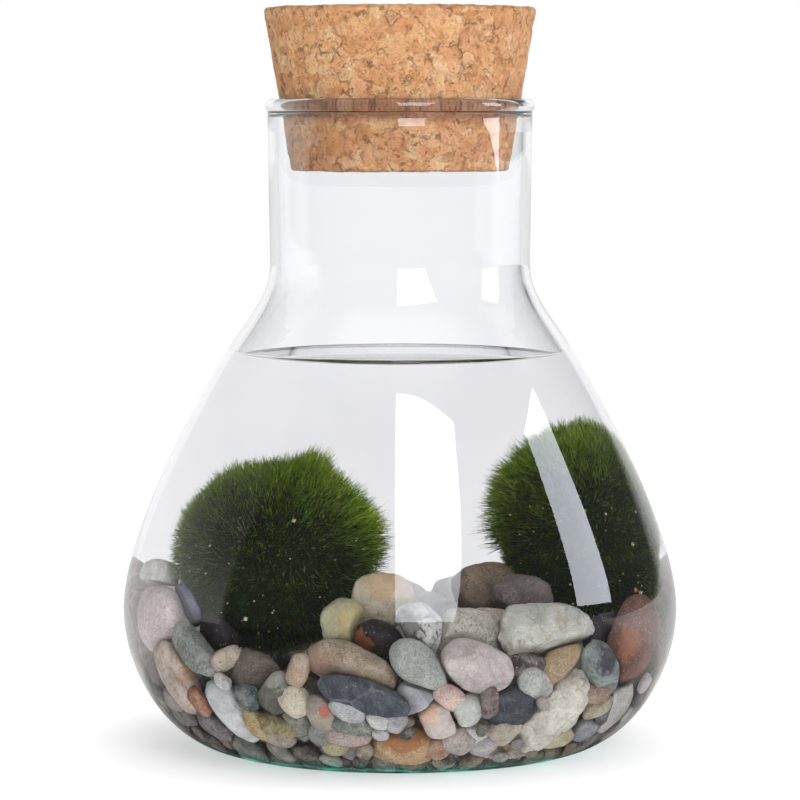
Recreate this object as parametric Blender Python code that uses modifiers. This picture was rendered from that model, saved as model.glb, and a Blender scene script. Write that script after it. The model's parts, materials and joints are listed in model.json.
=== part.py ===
"""A corked glass flask that keeps two marimo moss balls in water on a bed of river pebbles.

Metres, +Z up. The origin is the middle of the flask's flat base, and -Y is the front.
The flask, cork and water are turned about +Z. The moss balls rest on the pebbles. Each
large pebble is a solid of its own, and one turned mound stands for the small gravel that
lies under and between them.
"""

import math
import random

import bmesh
import bpy
import numpy as np
from mathutils import Vector

OBJECT_NAME = "marimo_moss_ball_jar"
MM = 0.001

# Flask: outer shape
FOOT_RADIUS = 33.5 * MM
BODY_RADIUS = 55.0 * MM
BELLY_HEIGHT = 27.75 * MM
HEEL_ROUNDNESS = 1.887
BELLY_HANDLE = 16.1 * MM
WAIST_RADIUS = 31.75 * MM
WAIST_HEIGHT = 82.75 * MM
WAIST_LEAN = math.radians(34.7)
WAIST_LOWER_HANDLE = 9.4 * MM
WAIST_UPPER_HANDLE = 6.4 * MM
NECK_RADIUS = 25.75 * MM
NECK_HEIGHT = 96.5 * MM
NECK_HANDLE = 5.4 * MM
MOUTH_RADIUS = 26.2 * MM
RIM_HEIGHT = 128.5 * MM

# Flask: wall
WALL = 1.7 * MM
NECK_WALL = 2.0 * MM
BASE_THICKNESS = 3.2 * MM
INNER_FOOT_RADIUS = 33.0 * MM

# Cork
CORK_TOP = 146.5 * MM
CORK_BOTTOM = 114.3 * MM
CORK_TOP_RADIUS = 27.0 * MM
CORK_BOTTOM_RADIUS = 21.5 * MM
CORK_EDGE = 0.9 * MM

# Water and moss
WATER_LEVEL = 77.5 * MM
WATER_FLOOR = 39.0 * MM
MOSS_LEFT_PLACE = (-21.4 * MM, -22.0 * MM, 39.3 * MM)
MOSS_LEFT_RADII = (17.7 * MM, 17.7 * MM, 16.6 * MM)
MOSS_RIGHT_PLACE = (30.3 * MM, -7.0 * MM, 41.8 * MM)
MOSS_RIGHT_RADII = (16.1 * MM, 16.1 * MM, 17.6 * MM)

# Gravel mound: (radius, height) of its outline, from the top to the bottom
MOUND_OUTLINE = ((14.0, 20.5), (25.0, 17.5), (30.5, 13.0), (35.0, 7.0), (33.5, 3.7))

# Clearances and sampling
GAP = 0.3 * MM
WALL_CLEARANCE = 0.65 * MM
TURN_STEPS = 36
CORK_STEPS = 32
MOUND_STEPS = 24
DIRECTIONS = 240

# Pebbles by hand: name, azimuth from the front in degrees (+ is to the right), height of the
# centre in mm, length, width and thickness in mm, tilt of the length in degrees (+ runs down
# to the right), depth behind the wall in mm, squareness, number of worn flats, colour.
PEBBLES = (
    ("pink_granite", -64, 28.0, 17, 13.5, 9, 0, 0.0, 2.3, 0, (0.62, 0.50, 0.48)),
    ("cream_slab", -69, 34.5, 14, 7, 8, -4, 1.5, 2.6, 2, (0.55, 0.51, 0.41)),
    ("blue_grey", -56, 31.0, 11, 8, 7, 15, 3.0, 2.4, 2, (0.22, 0.23, 0.29)),
    ("dark_purple", -47, 26.0, 11, 10, 8, 30, 3.5, 2.6, 3, (0.06, 0.04, 0.05)),
    ("speckled_bar", -50, 23.0, 16, 7, 6, 42, 1.2, 2.5, 0, (0.33, 0.35, 0.33)),
    ("veined_quartz", -59, 18.5, 15, 11, 7, 75, 0.0, 2.3, 0, (0.58, 0.46, 0.40)),
    ("white_oval", -43, 13.5, 15, 9, 6.5, 65, 0.0, 2.2, 0, (0.62, 0.64, 0.64)),
    ("taupe_disc", -34, 20.5, 11, 9.5, 6, 14, 2.0, 2.2, 0, (0.20, 0.17, 0.15)),
    ("grey_quartz", -28, 17.5, 9.5, 7.5, 5.5, -50, 0.0, 2.3, 2, (0.30, 0.29, 0.27)),
    ("gold_slate", -31, 11.5, 10, 5.5, 5, 3, 0.0, 2.6, 2, (0.37, 0.33, 0.19)),
    ("red_spot", -18, 14.0, 9, 6, 5, 82, 0.0, 2.3, 0, (0.58, 0.50, 0.44)),
    ("tan_granite", -11, 22.5, 18, 9, 8, 20, 1.2, 2.4, 0, (0.38, 0.30, 0.22)),
    ("slate_bar", -8, 17.5, 18, 7, 5, 20, 0.0, 2.3, 0, (0.09, 0.10, 0.12)),
    ("black_basalt", -5, 26.0, 10.5, 9, 8, 28, 4.5, 2.4, 3, (0.04, 0.03, 0.035)),
    ("cream_quartz", -13, 29.0, 10.5, 9, 8, 57, 6.0, 2.4, 2, (0.58, 0.54, 0.42)),
    ("peach_quartz", -5, 33.0, 11, 10, 9, 0, 12.0, 2.4, 3, (0.60, 0.50, 0.38)),
    ("grey_green", 4, 23.0, 13, 8, 7, 42, 1.2, 2.3, 0, (0.35, 0.38, 0.36)),
    ("light_grey", 4, 17.0, 9, 8, 6, 15, 1.0, 2.4, 2, (0.38, 0.38, 0.40)),
    ("sandstone", 1, 8.5, 13, 9.5, 7, 10, 0.0, 2.4, 2, (0.46, 0.28, 0.15)),
    ("black_veined", 5, 29.0, 11, 8, 7, 50, 5.5, 2.4, 0, (0.48, 0.48, 0.45)),
    ("beige_sandstone", 17, 27.0, 16, 11, 9, 10, 5.5, 2.4, 2, (0.46, 0.43, 0.34)),
    ("pink_white", 17, 22.5, 15, 9.5, 8, 20, 0.8, 2.4, 2, (0.70, 0.62, 0.59)),
    ("charcoal", 14, 17.8, 10, 7, 6, 0, 3.0, 2.4, 2, (0.10, 0.09, 0.095)),
    ("peach_pink", 9, 13.0, 9, 7.5, 6, 57, 0.0, 2.5, 3, (0.66, 0.49, 0.40)),
    ("green_white", 15, 15.0, 7, 7, 6, 0, 0.0, 2.3, 1, (0.55, 0.58, 0.50)),
    ("round_slate", 26, 15.0, 12, 9.5, 6, 25, 0.6, 2.2, 0, (0.06, 0.07, 0.08)),
    ("white_grey", 19, 10.3, 9, 6.5, 5.5, 0, 0.8, 2.4, 1, (0.50, 0.48, 0.48)),
    ("pitted_white", 35, 27.5, 21, 12, 9, 12, 2.0, 2.6, 3, (0.55, 0.56, 0.48)),
    ("ochre_tan", 39, 21.0, 12, 10, 7.5, -22, 1.2, 2.3, 2, (0.46, 0.34, 0.22)),
    ("green_chert", 49, 20.0, 14, 9, 7, 45, 0.3, 2.6, 5, (0.13, 0.16, 0.16)),
    ("terracotta", 62, 24.0, 18, 15, 10, -60, 0.0, 2.3, 0, (0.42, 0.20, 0.12)),
    ("craggy_cream", 40, 14.0, 18, 11, 8, -58, 0.0, 2.8, 5, (0.70, 0.66, 0.56)),
    ("pale_right", 61, 13.5, 13, 10, 7, 60, 0.0, 2.4, 2, (0.52, 0.50, 0.47)),
    ("brown_pink", 33, 7.0, 14, 7, 6, -4, 0.2, 2.5, 3, (0.34, 0.22, 0.18)),
    ("smoky_slab", 54, 26.0, 13, 8, 7, 5, 3.5, 2.5, 3, (0.13, 0.12, 0.13)),
    ("grey_back", 37, 32.5, 12, 8, 8, 12, 13.0, 2.4, 2, (0.16, 0.14, 0.13)),
    ("brown_back", 33, 33.0, 12, 9, 9, 0, 21.0, 2.4, 0, (0.11, 0.08, 0.06)),
)

# Pebbles round the back, in two rows, and a few on the mound: seeded sizes and colours
BACK_ROWS = ((9.0, 82.0), (18.5, 94.0))
BACK_PER_ROW = 7
BACK_SPACING = 29.5
MOUND_PEBBLES = ((22, 25, 150), (26, 24.5, -150), (9, 26, 20))
BACK_COLOURS = (
    (0.52, 0.46, 0.40), (0.10, 0.11, 0.12), (0.44, 0.28, 0.18), (0.62, 0.60, 0.56),
    (0.24, 0.25, 0.24), (0.58, 0.48, 0.42), (0.16, 0.14, 0.13), (0.42, 0.37, 0.28),
)


def clear_scene():
    for obj in list(bpy.data.objects):
        bpy.data.objects.remove(obj, do_unlink=True)


def new_collection(name, hidden=False):
    collection = bpy.data.collections.new(name)
    bpy.context.scene.collection.children.link(collection)
    collection.hide_render = hidden
    return collection


def new_material(name, colour, roughness, transmission=0.0, ior=1.45):
    material = bpy.data.materials.new(name)
    material.use_nodes = True
    shader = material.node_tree.nodes["Principled BSDF"]
    shader.inputs["Base Color"].default_value = (*colour, 1.0)
    shader.inputs["Roughness"].default_value = roughness
    shader.inputs["Metallic"].default_value = 0.0
    shader.inputs["Transmission Weight"].default_value = transmission
    shader.inputs["IOR"].default_value = ior
    material.diffuse_color = (*colour, 1.0)
    return material


# Turned shapes ---------------------------------------------------------------------------


def bezier(start, start_handle, end_handle, end, segments):
    """Points of a cubic curve, both ends included."""
    t = np.linspace(0.0, 1.0, segments + 1)[:, None]
    ends = (1 - t) ** 3 * np.array(start) + t**3 * np.array(end)
    return ends + 3 * (1 - t) ** 2 * t * np.array(start_handle) + 3 * (1 - t) * t**2 * np.array(end_handle)


def heel(foot_radius, foot_height, body_radius, segments):
    """A quarter superellipse from the foot out and up to the widest ring."""
    t = np.linspace(0.0, math.pi / 2, segments + 1)
    power = 2.0 / HEEL_ROUNDNESS
    radius = foot_radius + (body_radius - foot_radius) * np.sin(t) ** power
    height = foot_height + (BELLY_HEIGHT - foot_height) * (1.0 - np.clip(np.cos(t), 0, 1) ** power)
    return np.stack([radius, height], axis=1)


def cone_and_neck(segments):
    """The outer side from the widest ring up over the cone and waist to just under the rim."""
    lean = np.array([-math.sin(WAIST_LEAN), math.cos(WAIST_LEAN)])
    waist = np.array([WAIST_RADIUS, WAIST_HEIGHT])
    cone = bezier(
        (BODY_RADIUS, BELLY_HEIGHT),
        (BODY_RADIUS, BELLY_HEIGHT + BELLY_HANDLE),
        waist - lean * WAIST_LOWER_HANDLE,
        waist,
        segments,
    )
    shoulder = bezier(
        waist,
        waist + lean * WAIST_UPPER_HANDLE,
        (NECK_RADIUS, NECK_HEIGHT - NECK_HANDLE),
        (NECK_RADIUS, NECK_HEIGHT),
        segments - 2,
    )
    mouth = np.array([[MOUTH_RADIUS, RIM_HEIGHT - NECK_WALL / 2]])
    return np.concatenate([cone, shoulder[1:], mouth])


def offset_inwards(points, thickness):
    """The points moved along the outline's normal, towards the axis, by each one's thickness."""
    along = np.gradient(points, axis=0)
    normal = np.stack([along[:, 1], -along[:, 0]], axis=1)
    normal /= np.linalg.norm(normal, axis=1)[:, None]
    return points - normal * np.asarray(thickness)[:, None]


def inner_wall(heel_segments, cone_segments):
    """The inner outline from the edge of the flat floor up to just under the rim."""
    lower = heel(INNER_FOOT_RADIUS, BASE_THICKNESS, BODY_RADIUS - WALL, heel_segments)
    outer = cone_and_neck(cone_segments)
    rise = np.clip((outer[:, 1] - BELLY_HEIGHT) / (NECK_HEIGHT - BELLY_HEIGHT), 0.0, 1.0)
    upper = offset_inwards(outer, WALL + (NECK_WALL - WALL) * rise)
    upper[-1] = (MOUTH_RADIUS - NECK_WALL, RIM_HEIGHT - NECK_WALL / 2)
    return np.concatenate([lower[:-1], upper])


def flask_profile():
    """Closed at the axis: floor, inner wall, round lip, then the outer side down to the base."""
    inner = inner_wall(7, 7)
    outer = np.concatenate([heel(FOOT_RADIUS, 0.0, BODY_RADIUS, 7)[:-1], cone_and_neck(7)])
    lip_centre = np.array([MOUTH_RADIUS - NECK_WALL / 2, RIM_HEIGHT - NECK_WALL / 2])
    turn = np.linspace(math.pi, 0.0, 6)[1:-1]
    lip = lip_centre + NECK_WALL / 2 * np.stack([np.cos(turn), np.sin(turn)], axis=1)
    floor = np.array([[0.0, BASE_THICKNESS]])
    base = np.array([[0.0, 0.0]])
    return np.concatenate([floor, inner, lip, outer[::-1], base])


def cork_profile():
    """A tapered stopper with both edges slightly rounded."""
    side = np.array([CORK_BOTTOM_RADIUS - CORK_TOP_RADIUS, CORK_BOTTOM - CORK_TOP])
    side /= np.linalg.norm(side)
    top = np.array([CORK_TOP_RADIUS, CORK_TOP])
    bottom = np.array([CORK_BOTTOM_RADIUS, CORK_BOTTOM])
    return np.array([
        (0.0, CORK_TOP),
        (CORK_TOP_RADIUS - CORK_EDGE, CORK_TOP),
        tuple(top + side * CORK_EDGE),
        tuple(bottom - side * CORK_EDGE),
        (CORK_BOTTOM_RADIUS - CORK_EDGE, CORK_BOTTOM),
        (0.0, CORK_BOTTOM),
    ])


def water_profile():
    """The clear water over the pebbles, inside the wall by the usual gap."""
    wall = inner_wall(24, 24)
    heights = np.linspace(WATER_LEVEL, WATER_FLOOR, 9)
    radii = np.interp(heights, wall[:, 1], wall[:, 0]) - WALL_CLEARANCE
    side = np.stack([radii, heights], axis=1)
    return np.concatenate([[(0.0, WATER_LEVEL)], side, [(0.0, WATER_FLOOR)]])


def mound_profile():
    outline = np.array(MOUND_OUTLINE) * MM
    top = np.array([[0.0, outline[0, 1]]])
    bottom = np.array([[0.0, outline[-1, 1]]])
    return np.concatenate([top, outline, bottom])


def pocket_profile(radii):
    """A dome over a straight sleeve, to take a ball out of the water with no roof below it."""
    across = radii[0] + GAP * 1.6
    up = radii[2] + GAP * 1.6
    turn = np.linspace(math.pi / 2, 0.0, 9)
    dome = np.stack([across * np.cos(turn), up * np.sin(turn)], axis=1)
    dome[0, 0] = 0.0
    sleeve = np.array([(across, -up), (0.0, -up)])
    return np.concatenate([dome, sleeve])


def turned(name, profile, steps, collection, material=None):
    """An object whose outline is carried round +Z by a Screw modifier."""
    mesh = bpy.data.meshes.new(name)
    points = [(float(radius), 0.0, float(height)) for radius, height in profile]
    edges = [(i, i + 1) for i in range(len(points) - 1)]
    mesh.from_pydata(points, edges, [])
    obj = bpy.data.objects.new(name, mesh)
    collection.objects.link(obj)
    screw = obj.modifiers.new("Turn", "SCREW")
    screw.axis = "Z"
    screw.angle = math.tau
    screw.steps = steps
    screw.render_steps = steps
    screw.use_merge_vertices = True
    screw.merge_threshold = 0.00001
    screw.use_smooth_shade = True
    if material:
        mesh.materials.append(material)
    return obj


def cut(obj, cutter, name):
    cutter.display_type = "WIRE"
    cutter.hide_render = True
    boolean = obj.modifiers.new(name, "BOOLEAN")
    boolean.operation = "DIFFERENCE"
    boolean.solver = "EXACT"
    boolean.object = cutter


# Stones ----------------------------------------------------------------------------------


def even_directions(count):
    """Unit vectors spread evenly over a sphere along a spiral."""
    index = np.arange(count) + 0.5
    height = 1.0 - 2.0 * index / count
    turn = index * math.pi * (3.0 - math.sqrt(5.0))
    ring = np.sqrt(1.0 - height**2)
    return np.stack([ring * np.cos(turn), ring * np.sin(turn), height], axis=1)


def ball_corners(subdivisions):
    """Corners of a unit icosphere."""
    bm = bmesh.new()
    bmesh.ops.create_icosphere(bm, subdivisions=subdivisions, radius=1.0)
    points = np.array([tuple(v.co) for v in bm.verts])
    bm.free()
    return points


def stone_points(unit, size, squareness, flats, rng):
    """A rounded box of the given size, with a few flats worn on it at seeded angles."""
    norm = (np.abs(unit) ** squareness).sum(axis=1) ** (1.0 / squareness)
    points = unit / norm[:, None]
    for _ in range(flats):
        facing = np.array([rng.gauss(0, 1) for _ in range(3)])
        facing /= np.linalg.norm(facing)
        depth = np.max(points @ facing) * rng.uniform(0.80, 0.90)
        over = np.clip(points @ facing - depth, 0.0, None)
        points = points - over[:, None] * facing
    return points * np.array(size) / 2.0


def wall_frame(azimuth, height, inset, wall):
    """A place at this height and inset from the wall: its centre and its three directions."""
    inner = offset_inwards(wall, np.full(len(wall), inset))
    order = np.argsort(inner[:, 1])
    radius = np.interp(height, inner[order, 1], inner[order, 0])
    nearest = np.argmin(np.hypot(wall[:, 0] - radius, wall[:, 1] - height))
    outwards = np.array([wall[nearest, 0] - radius, wall[nearest, 1] - height])
    outwards /= np.linalg.norm(outwards)
    sine, cosine = math.sin(azimuth), math.cos(azimuth)
    centre = np.array([radius * sine, -radius * cosine, height])
    tangent = np.array([cosine, sine, 0.0])
    normal = np.array([outwards[0] * sine, -outwards[0] * cosine, outwards[1]])
    return centre, tangent, normal, np.cross(normal, tangent)


class Stone:
    """One pebble while it is being packed: its corners in place, and how freely it gives way."""

    def __init__(self, name, centre, axes, points, depth, colour):
        self.name = name
        self.centre = centre
        self.points = centre + points @ np.array(axes)
        self.depth = depth
        self.colour = colour

    def press(self, facing, limit):
        """Flatten what stands past the plane at this distance along this direction."""
        over = np.clip(self.points @ facing - limit, 0.0, None)
        self.points = self.points - over[:, None] * facing


def wall_stone(row, unit, wall):
    name, azimuth, height, length, width, thickness, tilt, depth, squareness, flats, colour = row
    rng = random.Random(name)
    inset = WALL_CLEARANCE + (depth + thickness / 2.0) * MM
    centre, tangent, normal, up = wall_frame(math.radians(azimuth), height * MM, inset, wall)
    turn = math.radians(tilt)
    along = tangent * math.cos(turn) - up * math.sin(turn)
    across = tangent * math.sin(turn) + up * math.cos(turn)
    size = (length * MM, width * MM, thickness * MM)
    points = stone_points(unit, size, squareness, flats, rng)
    return Stone("pebble_" + name, centre, (along, across, normal), points, depth, colour)


def back_rows(rng):
    """The rows of pebbles that line the back, with sizes, tilts and colours drawn in turn."""
    for row, (height, first) in enumerate(BACK_ROWS):
        for i in range(BACK_PER_ROW):
            azimuth = first + i * BACK_SPACING + rng.uniform(-3, 3)
            length = rng.uniform(16.0, 19.5)
            width = rng.uniform(9.5, 11.5)
            thickness = rng.uniform(7.0, 9.0)
            tilt = rng.uniform(-18, 18)
            colour = BACK_COLOURS[(3 * i + 5 * row) % len(BACK_COLOURS)]
            name = f"back_{row + 1}_{i + 1}"
            centre_height = height + rng.uniform(-1.0, 1.0)
            yield (name, azimuth, centre_height, length, width, thickness, tilt,
                   rng.uniform(0.0, 0.8), rng.uniform(2.2, 2.6), rng.choice((0, 1, 2, 3)), colour)


def mound_stone(number, place, unit, rng):
    """A pebble that lies on the middle of the bed, free of the wall."""
    radius, height, azimuth = place
    turn = math.radians(azimuth)
    centre = np.array([radius * math.sin(turn), -radius * math.cos(turn), height]) * MM
    size = np.array([rng.uniform(13, 16), rng.uniform(10, 12), rng.uniform(8, 9.5)]) * MM
    spin = rng.uniform(0, math.pi)
    axes = ((math.cos(spin), math.sin(spin), 0), (-math.sin(spin), math.cos(spin), 0), (0, 0, 1))
    points = stone_points(unit, size, rng.uniform(2.2, 2.5), rng.choice((0, 2)), rng)
    colour = BACK_COLOURS[(number * 3) % len(BACK_COLOURS)]
    return Stone(f"pebble_mound_{number + 1}", centre, axes, points, 8.0, colour)


def best_split(high, low, first_guess, directions):
    """The direction with the least overlap of two sets of corners, and the two edges along it."""
    facing = np.concatenate([directions, first_guess[None]])
    tops = (high @ facing.T).max(axis=0)
    bottoms = (low @ facing.T).min(axis=0)
    least = int(np.argmin(tops - bottoms))
    return facing[least], float(tops[least]), float(bottoms[least])


def part_stones(stones, directions):
    """Press each pair of overlapping pebbles flat against each other, with a gap between.

    The one nearer the glass keeps more of its shape.
    """
    for i, first in enumerate(stones):
        for second in stones[i + 1:]:
            between = second.centre - first.centre
            distance = np.linalg.norm(between)
            if distance > 30 * MM:
                continue
            facing, top, bottom = best_split(
                first.points, second.points, between / distance, directions)
            if top - bottom < -GAP:
                continue
            share = 0.5 + 0.35 * math.copysign(1.0, first.depth - second.depth)
            if abs(first.depth - second.depth) < 0.5:
                share = 0.5
            middle = top - (top - bottom) * share
            first.press(facing, middle - GAP / 2)
            second.press(-facing, -(middle + GAP / 2))


def clear_of(stones, corners, centre, directions):
    """Press the pebbles flat where they would enter a fixed rounded solid."""
    for stone in stones:
        between = centre - stone.centre
        facing, top, bottom = best_split(
            stone.points, corners, between / np.linalg.norm(between), directions)
        if top - bottom > -GAP:
            stone.press(facing, bottom - GAP)


def keep_in_flask(stones, wall):
    """Bring corners that pass the wall or the floor back inside them."""
    order = np.argsort(wall[:, 1])
    for stone in stones:
        points = stone.points
        points[:, 2] = np.maximum(points[:, 2], BASE_THICKNESS + WALL_CLEARANCE)
        radius = np.hypot(points[:, 0], points[:, 1])
        most = np.interp(points[:, 2], wall[order, 1], wall[order, 0]) - WALL_CLEARANCE
        points[:, :2] *= np.minimum(1.0, most / np.maximum(radius, 1e-9))[:, None]


def keep_under_water_floor(stones):
    for stone in stones:
        stone.press(np.array([0.0, 0.0, 1.0]), WATER_FLOOR - GAP)


def hull_mesh(name, points):
    """The smallest closed convex mesh round the points."""
    bm = bmesh.new()
    for point in points:
        bm.verts.new(point)
    made = bmesh.ops.convex_hull(bm, input=bm.verts)
    loose = {v for v in made["geom_interior"] + made["geom_unused"] if isinstance(v, bmesh.types.BMVert)}
    bmesh.ops.delete(bm, geom=list(loose), context="VERTS")
    bmesh.ops.triangulate(bm, faces=bm.faces)
    bmesh.ops.recalc_face_normals(bm, faces=bm.faces)
    mesh = bpy.data.meshes.new(name)
    bm.to_mesh(mesh)
    bm.free()
    return mesh


def place_mesh(name, mesh, centre, collection, material):
    mesh.materials.append(material)
    mesh.shade_smooth()
    obj = bpy.data.objects.new(name, mesh)
    obj.location = Vector(centre)
    collection.objects.link(obj)
    return obj


# Sub-parts -------------------------------------------------------------------------------


def build_flask(parts):
    glass = new_material("clear_glass", (0.95, 0.98, 0.97), 0.02, 1.0, 1.5)
    turned("flask", flask_profile(), TURN_STEPS, parts, glass)


def build_cork(parts):
    cork = new_material("agglomerated_cork", (0.60, 0.36, 0.20), 0.85)
    turned("cork_stopper", cork_profile(), CORK_STEPS, parts, cork)


def build_water(parts, cutters):
    clear = new_material("water", (0.96, 0.98, 0.98), 0.0, 1.0, 1.333)
    water = turned("water", water_profile(), TURN_STEPS, parts, clear)
    pockets = (("left", MOSS_LEFT_PLACE, MOSS_LEFT_RADII), ("right", MOSS_RIGHT_PLACE, MOSS_RIGHT_RADII))
    for side, place, radii in pockets:
        pocket = turned(f"pocket_{side}", pocket_profile(radii), 20, cutters)
        pocket.location = place
        cut(water, pocket, f"Pocket {side}")


def build_moss(parts):
    """The two balls, and the corners of each for the pebbles to keep clear of."""
    unit = ball_corners(3)
    balls = []
    sides = (("left", MOSS_LEFT_PLACE, MOSS_LEFT_RADII), ("right", MOSS_RIGHT_PLACE, MOSS_RIGHT_RADII))
    for side, place, radii in sides:
        green = new_material(f"moss_{side}", (0.03, 0.07, 0.01), 0.95)
        centre = np.array(place)
        corners = centre + unit * np.array(radii)
        name = f"moss_ball_{side}"
        place_mesh(name, hull_mesh(name, corners - centre), centre, parts, green)
        balls.append((corners, centre))
    return balls


def build_bed(parts, balls):
    """The gravel mound and every pebble, packed clear of each other, the wall and the moss."""
    gravel = new_material("small_gravel", (0.35, 0.30, 0.25), 0.8)
    profile = mound_profile()
    turned("gravel", profile, MOUND_STEPS, parts, gravel)
    wall = inner_wall(48, 48)
    directions = even_directions(DIRECTIONS)
    unit = ball_corners(2)
    rng = random.Random(17)
    stones = [wall_stone(row, unit, wall) for row in PEBBLES]
    stones += [wall_stone(row, unit, wall) for row in back_rows(rng)]
    stones += [mound_stone(i, place, unit, rng) for i, place in enumerate(MOUND_PEBBLES)]
    turn = np.linspace(0.0, math.tau, MOUND_STEPS, endpoint=False)
    mound = np.concatenate([
        np.stack([radius * np.cos(turn), radius * np.sin(turn), np.full(MOUND_STEPS, height)], axis=1)
        for radius, height in profile[1:-1]
    ])
    keep_in_flask(stones, wall)
    keep_under_water_floor(stones)
    clear_of(stones, mound, np.array([0.0, 0.0, profile[0, 1] / 2]), directions)
    for corners, centre in balls:
        clear_of(stones, corners, centre, directions)
    part_stones(stones, directions)
    for stone in stones:
        material = new_material(stone.name, stone.colour, 0.6)
        middle = stone.points.mean(axis=0)
        place_mesh(stone.name, hull_mesh(stone.name, stone.points - middle), middle, parts, material)


def main():
    clear_scene()
    parts = new_collection(OBJECT_NAME)
    cutters = new_collection("cutters", hidden=True)
    build_flask(parts)
    build_cork(parts)
    build_water(parts, cutters)
    balls = build_moss(parts)
    build_bed(parts, balls)


main()
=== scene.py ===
import json
import math

import bpy
import numpy as np
from bpy.props import FloatProperty, FloatVectorProperty, IntProperty, PointerProperty
from mathutils import Matrix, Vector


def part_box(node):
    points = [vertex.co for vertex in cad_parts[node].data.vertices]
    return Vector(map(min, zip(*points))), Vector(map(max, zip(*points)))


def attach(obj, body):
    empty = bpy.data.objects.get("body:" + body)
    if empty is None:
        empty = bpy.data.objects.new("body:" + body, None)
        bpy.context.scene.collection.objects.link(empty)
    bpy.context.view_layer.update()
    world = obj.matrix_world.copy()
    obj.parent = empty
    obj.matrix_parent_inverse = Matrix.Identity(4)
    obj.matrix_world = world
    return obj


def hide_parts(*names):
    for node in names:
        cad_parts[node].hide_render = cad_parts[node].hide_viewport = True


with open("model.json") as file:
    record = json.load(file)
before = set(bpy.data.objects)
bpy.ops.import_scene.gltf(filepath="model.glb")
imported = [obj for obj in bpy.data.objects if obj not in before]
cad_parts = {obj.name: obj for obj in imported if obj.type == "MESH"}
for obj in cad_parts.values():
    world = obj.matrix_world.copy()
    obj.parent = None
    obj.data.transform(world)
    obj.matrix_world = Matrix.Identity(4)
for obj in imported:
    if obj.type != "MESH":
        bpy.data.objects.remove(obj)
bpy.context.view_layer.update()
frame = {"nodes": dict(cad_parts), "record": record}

bl_info = {
    "name": "Moss Ball Flask",
    "version": (1, 0, 0),
    "blender": (4, 5, 0),
    "location": "3D View > Sidebar > Moss Flask",
    "description": "A corked glass flask of water, river pebbles and two moss balls",
    "category": "Add Mesh",
}

MM = 0.001
POLES = np.array([[0, 0, -1.0], [0, 0, 1.0]])

# The flask's outline, in millimetres, as the solid model has it.
FOOT_RADIUS = 33.5
BODY_RADIUS = 55.0
BELLY_HEIGHT = 27.75
HEEL_ROUNDNESS = 1.887
BELLY_HANDLE = 16.1
WAIST = (31.75, 82.75)
WAIST_LEAN = math.radians(34.7)
WAIST_HANDLES = (9.4, 6.4)
NECK = (25.75, 96.5)
NECK_HANDLE = 5.4
MOUTH_RADIUS = 26.2
RIM_HEIGHT = 128.5
WALL = 1.7
NECK_WALL = 2.0
LIP_BEAD = 1.4
BASE_THICKNESS = 3.2
INNER_FOOT_RADIUS = 33.0
CORK_RADII = (21.5, 27.0)
MOUND_OUTLINE = ((13.0, 19.0), (24.0, 16.2), (29.5, 11.8), (33.5, 6.4), (32.0, 4.2))
MOUND_TOP = 19.0
MOUND_FOOT = 4.2

# Points round each turned piece, and how strongly each clear material bends light.
ROUND_STEPS = 192
GLASS_IOR = 1.5
WATER_IOR = 1.333

# The camera's lens and sensor, in millimetres.
LENS = 171.6
SENSOR = 36.0

# The two tall lamps: middle in metres; bearing, downward tilt and roll in degrees; width and
# height in metres. Then how many times as bright as a white card each is in the glass, and
# how many times in the light that it casts.
LAMPS = {
    "front": ((0.102, -0.446, 0.287), (0.0, 37.7, 0.0), 0.238, 0.446),
    "side": ((0.610, -0.036, 0.308), (88.0, 0.0, -7.0), 0.205, 0.41),
}
GLINT_BRIGHTNESS = {"front": 7.5, "side": 9.0}
GLINT_COLOUR = (0.86, 0.90, 1.0)
KEY_BRIGHTNESS = {"front": 6.5, "side": 5.5}

# Whole numbers that scramble a knot's place into its value.
X_PRIME, Y_PRIME, Z_PRIME = 73856093, 19349663, 83492791
MIXERS = ((13, 1274126177), (16, 668265263))
LOW_BITS = 0x7FFFFFFF


def linear(red, green, blue):
    """The linear light values of a colour given in steps from 0 to 255."""
    steps = np.array([red, green, blue]) / 255.0
    light = np.where(steps <= 0.04045, steps / 12.92, ((steps + 0.055) / 1.055) ** 2.4)
    return opaque(float(value) for value in light)


def opaque(colour):
    """A colour as the sockets take it, with full cover."""
    return tuple(colour) + (1.0,)


# Surfaces --------------------------------------------------------------------------------


def write_mesh(name, points, quads, triangles=None):
    """A smooth mesh from whole arrays: points in metres, then quads, then triangles."""
    triangles = np.zeros((0, 3), int) if triangles is None else triangles
    corners = np.concatenate([quads.ravel(), triangles.ravel()]).astype(np.int32)
    starts = np.concatenate(
        [np.arange(len(quads)) * 4, len(quads) * 4 + np.arange(len(triangles)) * 3]
    ).astype(np.int32)
    mesh = bpy.data.meshes.new(name)
    mesh.vertices.add(len(points))
    mesh.vertices.foreach_set("co", np.asarray(points, np.float32).ravel())
    mesh.loops.add(len(corners))
    mesh.loops.foreach_set("vertex_index", corners)
    mesh.polygons.add(len(starts))
    mesh.polygons.foreach_set("loop_start", starts)
    mesh.polygons.foreach_set("use_smooth", np.ones(len(starts), bool))
    mesh.update(calc_edges=True)
    mesh.validate()
    return mesh


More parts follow.
